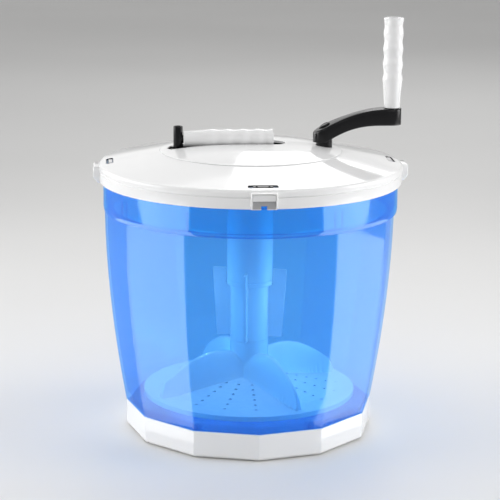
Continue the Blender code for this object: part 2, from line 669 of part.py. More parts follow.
def pivot_pin(carrier):
    """Steel pin that the agitator turns on, seated in the tub's floor boss."""
    bottom = PIVOT_BOSS_HEIGHT - PIVOT_PIN_DEPTH
    edge = RUNNING_GAP
    pin = turned(((0, bottom), (PIVOT_PIN_RADIUS, bottom), (PIVOT_PIN_RADIUS, PIVOT_PIN_TOP - edge),
                  (PIVOT_PIN_RADIUS - edge, PIVOT_PIN_TOP), (0, PIVOT_PIN_TOP)), SMALL_STEPS)
    place(pin, "pivot_pin", "steel", carrier)
    washer_bottom = PIVOT_BOSS_HEIGHT + FIT_GAP
    washer = ring(PIVOT_PIN_RADIUS + FIT_GAP, THRUST_WASHER_RADIUS, washer_bottom,
                  washer_bottom + THRUST_WASHER_THICKNESS, SMALL_STEPS)
    place(washer, "thrust_washer", "steel", carrier)


def base_shell(carrier):
    """White twelve sided tray that the tub stands in."""
    corner_wall = WALL / FACET_SHARE
    bottom = BASE_GROUND_GAP
    inner = BASE_RADIUS - corner_wall
    tray = loft([
        twelve_ring(BASE_RADIUS - BASE_CHAMFER, bottom),
        twelve_ring(BASE_RADIUS, bottom + BASE_CHAMFER),
        twelve_ring(BASE_RADIUS, BASE_HEIGHT),
        twelve_ring(inner, BASE_HEIGHT),
        twelve_ring(inner, bottom + WALL),
    ])
    floor_top = bottom + WALL
    pads = [disc(BASE_PAD_RADIUS, bottom + WALL / 2, floor_top + BASE_PAD_HEIGHT, SMALL_STEPS, x, y)
            for x, y in quarter_points(BASE_SCREW_CIRCLE)]
    add(tray, gathered(pads))
    counterbore_top = bottom + SCREW_HEAD_HEIGHT + RUNNING_GAP
    holes = [disc(SCREW_HEAD_RADIUS + RUNNING_GAP, bottom - CUT_OVERRUN, counterbore_top, SMALL_STEPS, x, y)
             for x, y in quarter_points(BASE_SCREW_CIRCLE)]
    cut(tray, gathered(holes))
    pad_top = floor_top + BASE_PAD_HEIGHT
    screw_hole = SCREW_SHANK_RADIUS + FIT_GAP
    plug_hole = FOOT_PLUG_RADIUS + FIT_GAP
    shanks = [disc(screw_hole, bottom, pad_top + CUT_OVERRUN, SCREW_STEPS, x, y)
              for x, y in quarter_points(BASE_SCREW_CIRCLE)]
    plugs = [disc(plug_hole, bottom - CUT_OVERRUN, floor_top + CUT_OVERRUN, SCREW_STEPS, x, y)
             for x, y in quarter_points(FOOT_CIRCLE)]
    cut(tray, gathered(shanks + plugs))
    place(tray, "base_shell", "lid_white", carrier)


def screw(length):
    """A pan head screw pointing up, with the underside of its head at height zero."""
    return turned((
        (0, -SCREW_HEAD_HEIGHT),
        (SCREW_HEAD_RADIUS, -SCREW_HEAD_HEIGHT),
        (SCREW_HEAD_RADIUS, 0),
        (SCREW_SHANK_RADIUS, 0),
        (SCREW_SHANK_RADIUS, length - SCREW_SHANK_RADIUS),
        (0, length),
    ), SCREW_STEPS)


def base_fittings(carrier):
    """Four push-in rubber feet and four screws under the base."""
    foot_top = BASE_GROUND_GAP - FIT_GAP
    seat = BASE_GROUND_GAP + SCREW_HEAD_HEIGHT + RUNNING_GAP - FIT_GAP
    for index, (x, y) in enumerate(quarter_points(FOOT_CIRCLE), 1):
        foot = turned(((0, 0), (FOOT_RADIUS - RUNNING_GAP, 0), (FOOT_RADIUS, foot_top),
                       (FOOT_PLUG_RADIUS, foot_top), (FOOT_PLUG_RADIUS, FOOT_PLUG_LENGTH),
                       (0, FOOT_PLUG_LENGTH)), SMALL_STEPS)
        place(shift(foot, x, y), f"rubber_foot_{index}", "foot_rubber", carrier)
    for index, (x, y) in enumerate(quarter_points(BASE_SCREW_CIRCLE), 1):
        fixing = shift(screw(BASE_SCREW_LENGTH - SCREW_HEAD_HEIGHT), x, y, seat)
        place(fixing, f"base_screw_{index}", "steel", carrier)


# Lid
def lid_profile():
    """Outline of the lid's section, from the top centre to the underside's centre."""
    dome = [(LID_DISC_RADIUS * step / DOME_STEPS, lid_surface(LID_DISC_RADIUS * step / DOME_STEPS))
            for step in range(DOME_STEPS + 1)]
    arc = []
    for step in range(1, DOME_STEPS + 1):
        angle = math.pi / 2 * (1 - step / DOME_STEPS)
        arc.append((LID_RIM_RADIUS + LID_RIM_ROUND * math.cos(angle),
                    LID_RIM_TOP - LID_RIM_ROUND + LID_RIM_ROUND * math.sin(angle)))
    groove_radius = LID_RADIUS - LID_GROOVE_DEPTH
    skirt_inner = LID_RADIUS - LID_SKIRT_WALL
    seat_slope = (lid_surface(LID_SEAT_INNER) - WALL - LID_SEAT_HEIGHT)
    underside = [(LID_SEAT_INNER - seat_slope / 2, lid_surface(LID_SEAT_INNER) - WALL),
                 (LID_RING_INNER, lid_surface(LID_RING_INNER) - WALL)]
    underside += [(radius, height - WALL) for radius, height in (dome[-1], dome[0])]
    return dome + [
        (LID_RING_INNER, LID_RING_HEIGHT),
        (LID_RIM_RADIUS, LID_RIM_TOP),
        *arc,
        (LID_RADIUS, LID_GROOVE_HEIGHT + LID_GROOVE_WIDTH),
        (groove_radius, LID_GROOVE_HEIGHT + LID_GROOVE_WIDTH / 2),
        (groove_radius, LID_GROOVE_HEIGHT),
        (LID_RADIUS - LID_GROOVE_DEPTH / 2, LID_GROOVE_HEIGHT - LID_GROOVE_WIDTH / 2),
        (LID_RADIUS - LID_GROOVE_DEPTH / 2, LID_BOTTOM + LID_GROOVE_WIDTH),
        (groove_radius, LID_BOTTOM),
        (skirt_inner, LID_BOTTOM),
        (skirt_inner, LID_SEAT_HEIGHT),
        (LID_SEAT_INNER, LID_SEAT_HEIGHT),
    ] + underside


def cover_screw_places():
    """Returns the six screw centres around the gearbox, seen in plan."""
    crank_radius = cover_radius(CRANK_TEETH) + EAR_RADIUS - WALL
    drive_radius = cover_radius(DRIVE_TEETH) + EAR_RADIUS - WALL
    places = []
    for angle in EAR_CRANK_ANGLES:
        turned_by = math.radians(angle)
        places.append((GEAR_SPACING + crank_radius * math.cos(turned_by), crank_radius * math.sin(turned_by)))
    for angle in EAR_DRIVE_ANGLES:
        turned_by = math.radians(angle)
        places.append((drive_radius * math.cos(turned_by), drive_radius * math.sin(turned_by)))
    return places


def cover_radius(teeth):
    """Outer radius of the gearbox cover around a gear."""
    return GEAR_MODULE * (teeth + 2) / 2 + COVER_CLEARANCE + WALL


def dome_core():
    """Solid that fills the lid up to the middle of its top wall."""
    reach = LID_SEAT_INNER
    stations = [reach * step / CORE_STEPS for step in range(CORE_STEPS + 1)]
    top = [(radius, lid_surface(radius) - WALL / 2) for radius in stations]
    return turned(top + [(reach, COVER_FLOOR_BOTTOM), (0, COVER_FLOOR_BOTTOM)], ROUND_STEPS)


def lid_inner_walls():
    """Bosses and the handle trough that grow from the lid's underside."""
    above = LID_CENTRE_HEIGHT + CUT_OVERRUN
    trough_bottom = SLOT_FLOOR - SLOT_FLOOR_THICKNESS
    trough = capsule(SLOT_LEFT - WALL, SLOT_RIGHT + WALL, SLOT_HALF_WIDTH + WALL, SLOT_WALL_STEPS)
    walls = prism(trough, trough_bottom, above)
    centre_radius = JOURNAL_RADIUS + FIT_GAP + BUSH_WALL + FIT_GAP + BOSS_WALL
    add(walls, disc(centre_radius, CENTRE_BUSH_BOTTOM - FIT_GAP, trough_bottom + WALL / 2, ROUND_STEPS))
    add(walls, disc(BUSH_OUTER_RADIUS + BOSS_WALL, CENTRE_BUSH_BOTTOM, above, SMALL_STEPS, GEAR_SPACING))
    bosses = [disc(SCREW_BOSS_RADIUS, COVER_WALL_TOP + FIT_GAP, above, SCREW_STEPS, x, y)
              for x, y in cover_screw_places()]
    add(walls, gathered(bosses))
    return combine(walls, dome_core(), "INTERSECT")


def latch_cutters(index):
    """Pocket, window, web channel, hook relief and lug notch of one latch."""
    half = HOUSING_WIDTH / 2 - HOUSING_WALL
    outside = LID_RADIUS + HOUSING_PROUD + CUT_OVERRUN
    web_half = CLIP_WEB_WIDTH / 2 + FIT_GAP
    hook_half = CLIP_HOOK_WIDTH / 2 + FIT_GAP
    lug_half = LUG_WIDTH / 2 + RUNNING_GAP
    web_bottom = LID_SEAT_HEIGHT
    web_top = web_bottom + CLIP_THICKNESS + 2 * FIT_GAP
    skirt_inner = LID_RADIUS - LID_SKIRT_WALL
    hook_bottom = web_top - CLIP_HOOK_LENGTH - RUNNING_GAP
    hook_reach = COLLAR_RADIUS + RIM_BEAD + FIT_GAP + CLIP_HOOK_THICKNESS + CLIP_TRAVEL + FIT_GAP
    pocket = block((POCKET_FLOOR_RADIUS, -half, LID_BOTTOM - CUT_OVERRUN),
                   (outside, half, HOUSING_TOP - HOUSING_WALL))
    channel = block((WINDOW_INNER - FIT_GAP, -web_half, web_bottom - CUT_OVERRUN),
                    (outside, web_half, web_top))
    window = block((WINDOW_INNER, -WINDOW_WIDTH / 2, web_bottom + FIT_GAP),
                   (WINDOW_OUTER, WINDOW_WIDTH / 2, LID_CENTRE_HEIGHT))
    relief = block((skirt_inner - WALL, -hook_half, hook_bottom), (hook_reach, hook_half, web_top))
    notch = block((skirt_inner - WALL, -lug_half, LID_BOTTOM - CUT_OVERRUN),
                  (outside, lug_half, LUG_BOTTOM + LUG_HEIGHT + RUNNING_GAP))
    angle = math.tau * index / LATCH_COUNT
    return [turn(tool, angle) for tool in (pocket, channel, window, relief, notch)]


def lid_shell(carrier):
    """Domed lid with a raised disc, a trough for the folded handle and four latch housings."""
    shell = turned(lid_profile(), FINE_STEPS)
    housings = []
    for index in range(LATCH_COUNT):
        housing = block((LID_RADIUS - LID_SKIRT_WALL / 2, -HOUSING_WIDTH / 2, LID_BOTTOM),
                        (LID_RADIUS + HOUSING_PROUD, HOUSING_WIDTH / 2, HOUSING_TOP))
        housings.append(turn(housing, math.tau * index / LATCH_COUNT))
    add(shell, gathered(housings), lid_inner_walls())
    for index in range(LATCH_COUNT):
        cut(shell, *latch_cutters(index))
    above = LID_CENTRE_HEIGHT + CUT_OVERRUN
    cut(shell, prism(capsule(SLOT_LEFT, SLOT_RIGHT, SLOT_HALF_WIDTH, SLOT_STEPS), SLOT_FLOOR, above))
    bush_hole = BUSH_OUTER_RADIUS + FIT_GAP
    boss_recess = ARM_BOSS_RADIUS + RUNNING_GAP
    holes = [disc(bush_hole, COVER_FLOOR_BOTTOM, above, SMALL_STEPS, GEAR_SPACING)]
    screw_hole = SCREW_SHANK_RADIUS + FIT_GAP
    for x, y in cover_screw_places():
        holes.append(disc(screw_hole, COVER_WALL_TOP - CUT_OVERRUN, COVER_SCREW_TOP + FIT_GAP,
                          SCREW_STEPS, x, y))
    cut(shell, gathered(holes))
    recess_floor = ARM_BOSS_BOTTOM - RUNNING_GAP
    centre_hole = JOURNAL_RADIUS + FIT_GAP + BUSH_WALL + FIT_GAP
    bush_top = SLOT_FLOOR - SLOT_FLOOR_THICKNESS
    cut(shell, disc(boss_recess, recess_floor, above, ROUND_STEPS, GEAR_SPACING))
    cut(shell, disc(centre_hole, CENTRE_BUSH_BOTTOM - CUT_OVERRUN, bush_top, ROUND_STEPS))
    pin_length = pin_half_length() + FIT_GAP
    pin_hole = along_y(disc(HANDLE_PIN_RADIUS + FIT_GAP, -pin_length, pin_length, SCREW_STEPS))
    cut(shell, shift(pin_hole, HANDLE_PIVOT_X, 0, HANDLE_PIVOT_Z))
    place(shell, "lid_shell", "lid_white", carrier)


def pin_half_length():
    """Half the length of the handle's hinge pin, which ends inside the trough's walls."""
    end_centre = SLOT_LEFT + SLOT_HALF_WIDTH
    half_chord = math.sqrt(SLOT_HALF_WIDTH ** 2 - (HANDLE_PIVOT_X - end_centre) ** 2)
    return half_chord + HANDLE_PIN_SINK


def seal_ring(carrier):
    """Rubber ring between the tub's rim and the lid's seat."""
    seal = ring(SEAL_INNER, SEAL_OUTER, RIM_HEIGHT + FIT_GAP, LID_SEAT_HEIGHT - FIT_GAP, FINE_STEPS)
    place(seal, "seal_ring", "seal_rubber", carrier)


def cover_outline(inset):
    """Outline around both gears, drawn in by an inset."""
    small = cover_radius(DRIVE_TEETH) - inset
    large = cover_radius(CRANK_TEETH) - inset
    meet = math.acos((small - large) / GEAR_SPACING)
    points = []
    for step in range(OUTLINE_STEPS + 1):
        angle = meet * (2 * step / OUTLINE_STEPS - 1)
        points.append((GEAR_SPACING + large * math.cos(angle), large * math.sin(angle)))
    for step in range(OUTLINE_STEPS // 2 + 1):
        angle = meet + (math.tau - 2 * meet) * 2 * step / OUTLINE_STEPS
        points.append((small * math.cos(angle), small * math.sin(angle)))
    return points


def gearbox_cover(carrier):
    """Tray that closes the gears from below, with screw ears and bearing holes."""
    floor_top = COVER_FLOOR_BOTTOM + WALL
    tray = prism(cover_outline(0), COVER_FLOOR_BOTTOM, COVER_WALL_TOP)
    ears = [disc(EAR_RADIUS, COVER_FLOOR_BOTTOM, COVER_WALL_TOP, SCREW_STEPS, x, y)
            for x, y in cover_screw_places()]
    add(tray, gathered(ears))
    cut(tray, prism(cover_outline(WALL), floor_top, COVER_WALL_TOP + CUT_OVERRUN))
    tube_hole = TUBE_RADIUS + FIT_GAP + BUSH_WALL + FIT_GAP
    low = COVER_FLOOR_BOTTOM - CUT_OVERRUN
    holes = [disc(tube_hole, low, floor_top + CUT_OVERRUN, ROUND_STEPS),
             disc(SHAFT_RADIUS + FIT_GAP, low, floor_top + CUT_OVERRUN, SMALL_STEPS, GEAR_SPACING)]
    for x, y in cover_screw_places():
        holes.append(disc(SCREW_SHANK_RADIUS + FIT_GAP, low, COVER_WALL_TOP + CUT_OVERRUN, SCREW_STEPS, x, y))
    cut(tray, gathered(holes))
    place(tray, "gearbox_cover", "lid_white", carrier)
    seat = COVER_FLOOR_BOTTOM - FIT_GAP
    for index, (x, y) in enumerate(cover_screw_places(), 1):
        place(shift(screw(COVER_SCREW_TOP - seat), x, y, seat), f"cover_screw_{index}", "steel", carrier)


def flanged_bush(bore, outer, bottom, top, flange_bottom, flange_top, steps):
    """A bearing bush with a flange between two of its heights."""
    wide = outer + FLANGE_REACH
    profile = [(bore, bottom)]
    profile += [(outer, bottom), (outer, flange_bottom)] if flange_bottom > bottom else []
    profile += [(wide, flange_bottom), (wide, flange_top), (outer, flange_top), (outer, top), (bore, top)]
    return turned(profile, steps, closed=True)


def lid_bushes(carrier):
    """Bearing bushes of the crank shaft, the drive tube and the tube's upper journal."""
    flange_bottom = GEAR_TOP + RUNNING_GAP
    flange_top = flange_bottom + FLANGE_HEIGHT
    crank_bush = flanged_bush(BUSH_BORE_RADIUS, BUSH_OUTER_RADIUS, flange_bottom,
                              ARM_BOSS_BOTTOM - RUNNING_GAP, flange_bottom, flange_top, SMALL_STEPS)
    place(shift(crank_bush, GEAR_SPACING), "crank_bush", "brass", carrier)
    floor_top = COVER_FLOOR_BOTTOM + WALL
    tube_bore = TUBE_RADIUS + FIT_GAP
    tube_bush = flanged_bush(tube_bore, tube_bore + BUSH_WALL, COVER_FLOOR_BOTTOM, GEAR_BOTTOM - FIT_GAP,
                             floor_top + FIT_GAP, floor_top + FIT_GAP + FLANGE_HEIGHT, ROUND_STEPS)
    place(tube_bush, "tube_bush", "brass", carrier)
    journal_bore = JOURNAL_RADIUS + FIT_GAP
    top_bush = ring(journal_bore, journal_bore + BUSH_WALL, CENTRE_BUSH_BOTTOM,
                    SLOT_FLOOR - SLOT_FLOOR_THICKNESS - FIT_GAP, ROUND_STEPS)
    place(top_bush, "journal_bush", "brass", carrier)


def handle_pin(carrier):
    """Steel hinge pin of the side handle, across the left end of the trough."""
    half = pin_half_length()
    pin = along_y(disc(HANDLE_PIN_RADIUS, -half, half, SCREW_STEPS))
    place(shift(pin, HANDLE_PIVOT_X, 0, HANDLE_PIVOT_Z), "handle_pin", "steel", carrier)


def latch_clip(index, name, parent):
    """Pull clip of one latch: face, web, leg in the window and hook over the rim."""
    radius_out = LID_RADIUS + HOUSING_PROUD - RUNNING_GAP
    face_half = CLIP_FACE_WIDTH / 2
    web_bottom = LID_SEAT_HEIGHT + FIT_GAP
    web_top = web_bottom + CLIP_THICKNESS
    face_top = HOUSING_TOP - HOUSING_WALL - FIT_GAP
    hook_inner = COLLAR_RADIUS + RIM_BEAD + FIT_GAP
    leg_top = lid_surface(CLIP_LEG_RADIUS + CLIP_LEG_THICKNESS) - FIT_GAP
    middle = web_bottom + CLIP_THICKNESS / 2
    clip = block((CLIP_LEG_RADIUS, -CLIP_WEB_WIDTH / 2, web_bottom), (radius_out - CLIP_THICKNESS / 2,
                                                                    CLIP_WEB_WIDTH / 2, web_top))
    face = block((radius_out - CLIP_THICKNESS, -face_half, face_top - CLIP_FACE_HEIGHT),
                 (radius_out, face_half, face_top))
    leg = block((CLIP_LEG_RADIUS, -CLIP_LEG_WIDTH / 2, web_top - FIT_GAP),
                (CLIP_LEG_RADIUS + CLIP_LEG_THICKNESS, CLIP_LEG_WIDTH / 2, leg_top))
    hook = block((hook_inner, -CLIP_HOOK_WIDTH / 2, web_top - CLIP_HOOK_LENGTH),
                 (hook_inner + CLIP_HOOK_THICKNESS, CLIP_HOOK_WIDTH / 2, middle))
    add(clip, face, leg, hook)
    angle = math.tau * index / LATCH_COUNT
    turn(clip, angle)
    spot = Vector((radius_out * math.cos(angle), radius_out * math.sin(angle), middle))
    carrier = pivot(f"{name}_slide", spot, parent)
    place(shift(clip, *(-spot)), name, "lid_white", carrier)


# Gears and shafts
def gear_outline(teeth, phase):
    """Straight flanked tooth outline, four points to a tooth."""
    pitch = GEAR_MODULE * teeth / 2
    tip = pitch + GEAR_MODULE - GEAR_TIP_CUT
    root = pitch - GEAR_ROOT_SHARE * GEAR_MODULE
    half_pitch_width = math.pi * GEAR_MODULE / 4 - GEAR_BACKLASH / 2
    points = []
    for tooth in range(teeth):
        middle = phase + math.tau * tooth / teeth
        for side, radius in ((-1, root), (-1, tip), (1, tip), (1, root)):
            half = half_pitch_width - (radius - pitch) * PRESSURE_SLOPE
            angle = middle + side * half / radius
            points.append((radius * math.cos(angle), radius * math.sin(angle)))
    return points


def crank_drive(carrier):
    """Large gear and its stepped shaft, which the arm turns."""
    gear = prism(gear_outline(CRANK_TEETH, 0), GEAR_BOTTOM, GEAR_TOP)
    hex_hole = SHAFT_HEX_RADIUS + FIT_GAP / HEX_SHARE
    cut(gear, hexagon(hex_hole, GEAR_BOTTOM - CUT_OVERRUN, GEAR_TOP + CUT_OVERRUN))
    place(gear, "crank_gear", "gear_plastic", carrier)
    collar_bottom = COVER_FLOOR_BOTTOM + WALL + FIT_GAP
    core = SHAFT_RADIUS * HEX_SHARE - FIT_GAP
    shaft = turned((
        (0, SHAFT_BOTTOM),
        (SHAFT_RADIUS, SHAFT_BOTTOM),
        (SHAFT_RADIUS, collar_bottom),
        (SHAFT_COLLAR_RADIUS, collar_bottom),
        (SHAFT_COLLAR_RADIUS, GEAR_BOTTOM - FIT_GAP),
        (core, GEAR_BOTTOM - FIT_GAP),
        (core, GEAR_TOP - RUNNING_GAP),
        (SHAFT_RADIUS, GEAR_TOP - RUNNING_GAP),
        (SHAFT_RADIUS, ARM_BOSS_BOTTOM - FIT_GAP),
        (core, ARM_BOSS_BOTTOM - FIT_GAP),
        (core, SHAFT_TOP),
        (0, SHAFT_TOP),
    ), SMALL_STEPS)
    lower_hex = hexagon(SHAFT_HEX_RADIUS, GEAR_BOTTOM - RUNNING_GAP, GEAR_TOP + FIT_GAP / 2)
    upper_hex = hexagon(SHAFT_RADIUS, ARM_BOSS_BOTTOM - RUNNING_GAP, SHAFT_TOP - FIT_GAP)
    add(shaft, lower_hex, upper_hex)
    cut(shaft, disc(SCREW_SHANK_RADIUS + FIT_GAP, CRANK_SCREW_HOLE_BOTTOM, SHAFT_TOP + CUT_OVERRUN,
                    SCREW_STEPS))
    place(shaft, "crank_shaft", "steel", carrier)


def swept(share, power):
    """Share of the full rise at a share of the way, steep at first and level at the end."""
    return 1 - (1 - min(max(share, 0.0), 1.0)) ** power


def arm_section(x):
    """Bottom and top of the crank arm at a distance from its turning axis."""
    underside = swept(x / (ARM_REACH - ARM_END_RADIUS), ARM_UNDERSIDE_POWER)
    bottom = ARM_BOTTOM + (ARM_END_BOTTOM - ARM_BOTTOM) * underside
    run = ARM_HUB_RADIUS + ARM_REACH - ARM_END_RADIUS / 2
    crown = swept((x + ARM_HUB_RADIUS) / run, ARM_TOP_POWER)
    top = ARM_TOP + (ARM_END_TOP - ARM_TOP) * crown
    return bottom, top


def arm_half_width(x):
    """Half width of the arm in plan, round at both ends and drawn in at the waist."""
    if x <= 0:
        return math.sqrt(max(ARM_HUB_RADIUS ** 2 - x ** 2, 0.0))
    if x >= ARM_REACH:
        return math.sqrt(max(ARM_END_RADIUS ** 2 - (x - ARM_REACH) ** 2, 0.0))
    share = x / ARM_REACH
    plain = ARM_HUB_RADIUS + (ARM_END_RADIUS - ARM_HUB_RADIUS) * share
    return plain - (plain - ARM_WAIST_HALF) * math.sin(math.pi * share) ** 2


def arm_stations():
    """Distances along the arm, closer together round its two ends."""
    stations = [-ARM_HUB_RADIUS * math.cos(math.pi / 2 * step / ARM_END_STEPS)
                for step in range(1, ARM_END_STEPS)]
    stations += [ARM_REACH * step / ARM_STATIONS for step in range(ARM_STATIONS + 1)]
    stations += [ARM_REACH + ARM_END_RADIUS * math.sin(math.pi / 2 * step / ARM_END_STEPS)
                 for step in range(1, ARM_END_STEPS)]
    return stations


def arm_blade():
    """The arm's swept body, eight points to a section with softened edges."""
    rings = []
    for x in arm_stations():
        half = arm_half_width(x)
        bottom, top = arm_section(x)
        edge = min(ARM_EDGE, half / 2)
        rings.append([
            (x, -half + edge, bottom), (x, half - edge, bottom),
            (x, half, bottom + edge), (x, half, top - edge),
            (x, half - edge, top), (x, -half + edge, top),
            (x, -half, top - edge), (x, -half, bottom + edge),
        ])
    return loft(rings)


def crank_arm(carrier):
    """Black arm with its hub boss, screw recess and the socket of the grip's pin."""
    arm = arm_blade()
    boss = disc(ARM_BOSS_RADIUS, ARM_BOSS_BOTTOM, (ARM_BOTTOM + ARM_TOP) / 2, ROUND_STEPS)
    add(arm, boss)
    hex_hole = SHAFT_RADIUS + FIT_GAP / HEX_SHARE
    socket_bottom = ARM_END_TOP - GRIP_PIN_SEAT_DEPTH - FIT_GAP
    cut(arm, hexagon(hex_hole, ARM_BOSS_BOTTOM - CUT_OVERRUN, SHAFT_TOP + FIT_GAP))
    cut(arm, disc(SCREW_SHANK_RADIUS + FIT_GAP, SHAFT_TOP - CUT_OVERRUN, ARM_END_TOP, SCREW_STEPS))
    cut(arm, disc(ARM_RECESS_RADIUS, ARM_RECESS_FLOOR, ARM_END_TOP, SMALL_STEPS))
    pin_hole = GRIP_PIN_RADIUS + FIT_GAP
    cut(arm, disc(pin_hole, socket_bottom, ARM_END_TOP + CUT_OVERRUN, SMALL_STEPS, ARM_REACH))
    place(arm, "crank_arm", "arm_black", carrier)


def crank_fasteners(carrier):
    """Screw that holds the arm on its shaft, and the cap over it."""
    fixing = screw(CRANK_SCREW_LENGTH)
    fixing.data.transform(Matrix.Rotation(math.pi, 4, "X"))
    place(shift(fixing, 0, 0, ARM_RECESS_FLOOR + FIT_GAP), "crank_screw", "steel", carrier)
    radius = ARM_RECESS_RADIUS - FIT_GAP
    bottom = ARM_RECESS_FLOOR + SCREW_HEAD_HEIGHT + 2 * FIT_GAP
    edge = (CRANK_CAP_TOP - bottom) / 4
    cap = turned(((0, bottom), (radius, bottom), (radius, CRANK_CAP_TOP - edge),
                  (radius - edge, CRANK_CAP_TOP), (0, CRANK_CAP_TOP + edge)), SMALL_STEPS)
    place(cap, "crank_cap", "arm_black", carrier)


# Grips
def grip_radius(distance):
    """Radius of the moulded grip, widening at first and then waved for the fingers."""
    if distance <= GRIP_PLAIN_LENGTH:
        share = distance / GRIP_PLAIN_LENGTH
        return GRIP_PLAIN_RADIUS + GRIP_WAVE_RISE * share ** GRIP_TAPER_POWER
    wave_length = (GRIP_LENGTH - GRIP_PLAIN_LENGTH) / (GRIP_WAVE_COUNT + GRIP_PART_WAVE_SHARE)
    turns = (distance - GRIP_PLAIN_LENGTH) / wave_length - GRIP_PART_WAVE_SHARE
    return GRIP_WAVE_RADIUS + GRIP_WAVE_SWELL * math.cos(math.tau * turns)


def grip_body():
    """Hollow grip standing on height zero, with a wider mouth at its far end."""
    count = round(GRIP_RINGS_PER_WAVE * (GRIP_WAVE_COUNT + GRIP_PART_WAVE_SHARE))
    first = GRIP_PLAIN_RADIUS - GRIP_END_ROUND
    middle = GRIP_PLAIN_LENGTH / 2
    profile = [(GRIP_BORE_RADIUS, 0), (first, 0), (GRIP_PLAIN_RADIUS, GRIP_END_ROUND)]
    profile.append((grip_radius(middle), middle))
    for step in range(count):
        distance = GRIP_PLAIN_LENGTH + (GRIP_LENGTH - GRIP_PLAIN_LENGTH) * step / count
        profile.append((grip_radius(distance), distance))
    last = grip_radius(GRIP_LENGTH)
    mouth_floor = GRIP_LENGTH - GRIP_MOUTH_DEPTH
    profile += [(last, GRIP_LENGTH - GRIP_END_ROUND), (last - GRIP_END_ROUND, GRIP_LENGTH),
                (GRIP_MOUTH_RADIUS, GRIP_LENGTH), (GRIP_MOUTH_RADIUS, mouth_floor),
                (GRIP_BORE_RADIUS, mouth_floor)]
    return turned(profile, GRIP_STEPS, closed=True)


def crank_grip(pin_carrier, grip_carrier):
    """Upright grip that spins on a headed pin in the arm's end."""
    bottom = ARM_END_TOP + RUNNING_GAP
    place(shift(grip_body(), z=bottom), "crank_grip", "lid_white", grip_carrier)
    head_bottom = bottom + GRIP_LENGTH - GRIP_MOUTH_DEPTH + RUNNING_GAP
    pin_bottom = ARM_END_TOP - GRIP_PIN_SEAT_DEPTH
    head_top = head_bottom + GRIP_PIN_HEAD_HEIGHT
    pin = turned(((0, pin_bottom), (GRIP_PIN_RADIUS, pin_bottom), (GRIP_PIN_RADIUS, head_bottom),
                  (GRIP_PIN_HEAD_RADIUS, head_bottom), (GRIP_PIN_HEAD_RADIUS, head_top - RUNNING_GAP),
                  (GRIP_PIN_HEAD_RADIUS - RUNNING_GAP, head_top), (0, head_top)), SMALL_STEPS)
    place(shift(pin, ARM_REACH), "grip_pin", "steel", pin_carrier)


def side_handle(carrier):
    """Folding side handle: black lever with its post and headed core, and the white grip."""
    grip_start = HANDLE_POST_X + HANDLE_POST_RADIUS + RUNNING_GAP
    head_start = grip_start + GRIP_LENGTH - GRIP_MOUTH_DEPTH + RUNNING_GAP
    post = turned(((0, HANDLE_POST_BOTTOM), (HANDLE_POST_RADIUS, HANDLE_POST_BOTTOM),
                   (HANDLE_POST_RADIUS, HANDLE_POST_TOP - RUNNING_GAP),
                   (HANDLE_POST_RADIUS - RUNNING_GAP, HANDLE_POST_TOP), (0, HANDLE_POST_TOP)), SMALL_STEPS)
    shift(post, HANDLE_POST_X)
    core = along_x(turned(((0, 0), (GRIP_PIN_RADIUS, 0), (GRIP_PIN_RADIUS, head_start - HANDLE_POST_X),
                           (GRIP_PIN_HEAD_RADIUS, head_start - HANDLE_POST_X),
                           (GRIP_PIN_HEAD_RADIUS, head_start - HANDLE_POST_X + GRIP_PIN_HEAD_HEIGHT),
                           (0, head_start - HANDLE_POST_X + GRIP_PIN_HEAD_HEIGHT)), SMALL_STEPS))
    shift(core, HANDLE_POST_X, 0, HANDLE_AXIS_HEIGHT)
    half = HANDLE_LUG_WIDTH / 2
    lug = along_y(disc(HANDLE_LUG_RADIUS, -half, half, SMALL_STEPS))
    shift(lug, HANDLE_PIVOT_X, 0, HANDLE_PIVOT_Z)
    link = block((HANDLE_PIVOT_X, -half + FIT_GAP, HANDLE_POST_BOTTOM + FIT_GAP),
                 (HANDLE_POST_X, half - FIT_GAP, HANDLE_PIVOT_Z + HANDLE_LUG_RADIUS - FIT_GAP))
    add(post, core, lug, link)
    bore = along_y(disc(HANDLE_PIN_RADIUS + FIT_GAP, -SLOT_HALF_WIDTH, SLOT_HALF_WIDTH, SCREW_STEPS))
    cut(post, shift(bore, HANDLE_PIVOT_X, 0, HANDLE_PIVOT_Z))
    place(shift(post, *(-HANDLE_PIVOT)), "handle_lever", "arm_black", carrier)
    grip = along_x(grip_body())
    shift(grip, grip_start, 0, HANDLE_AXIS_HEIGHT)
    place(shift(grip, *(-HANDLE_PIVOT)), "handle_grip", "lid_white", carrier)


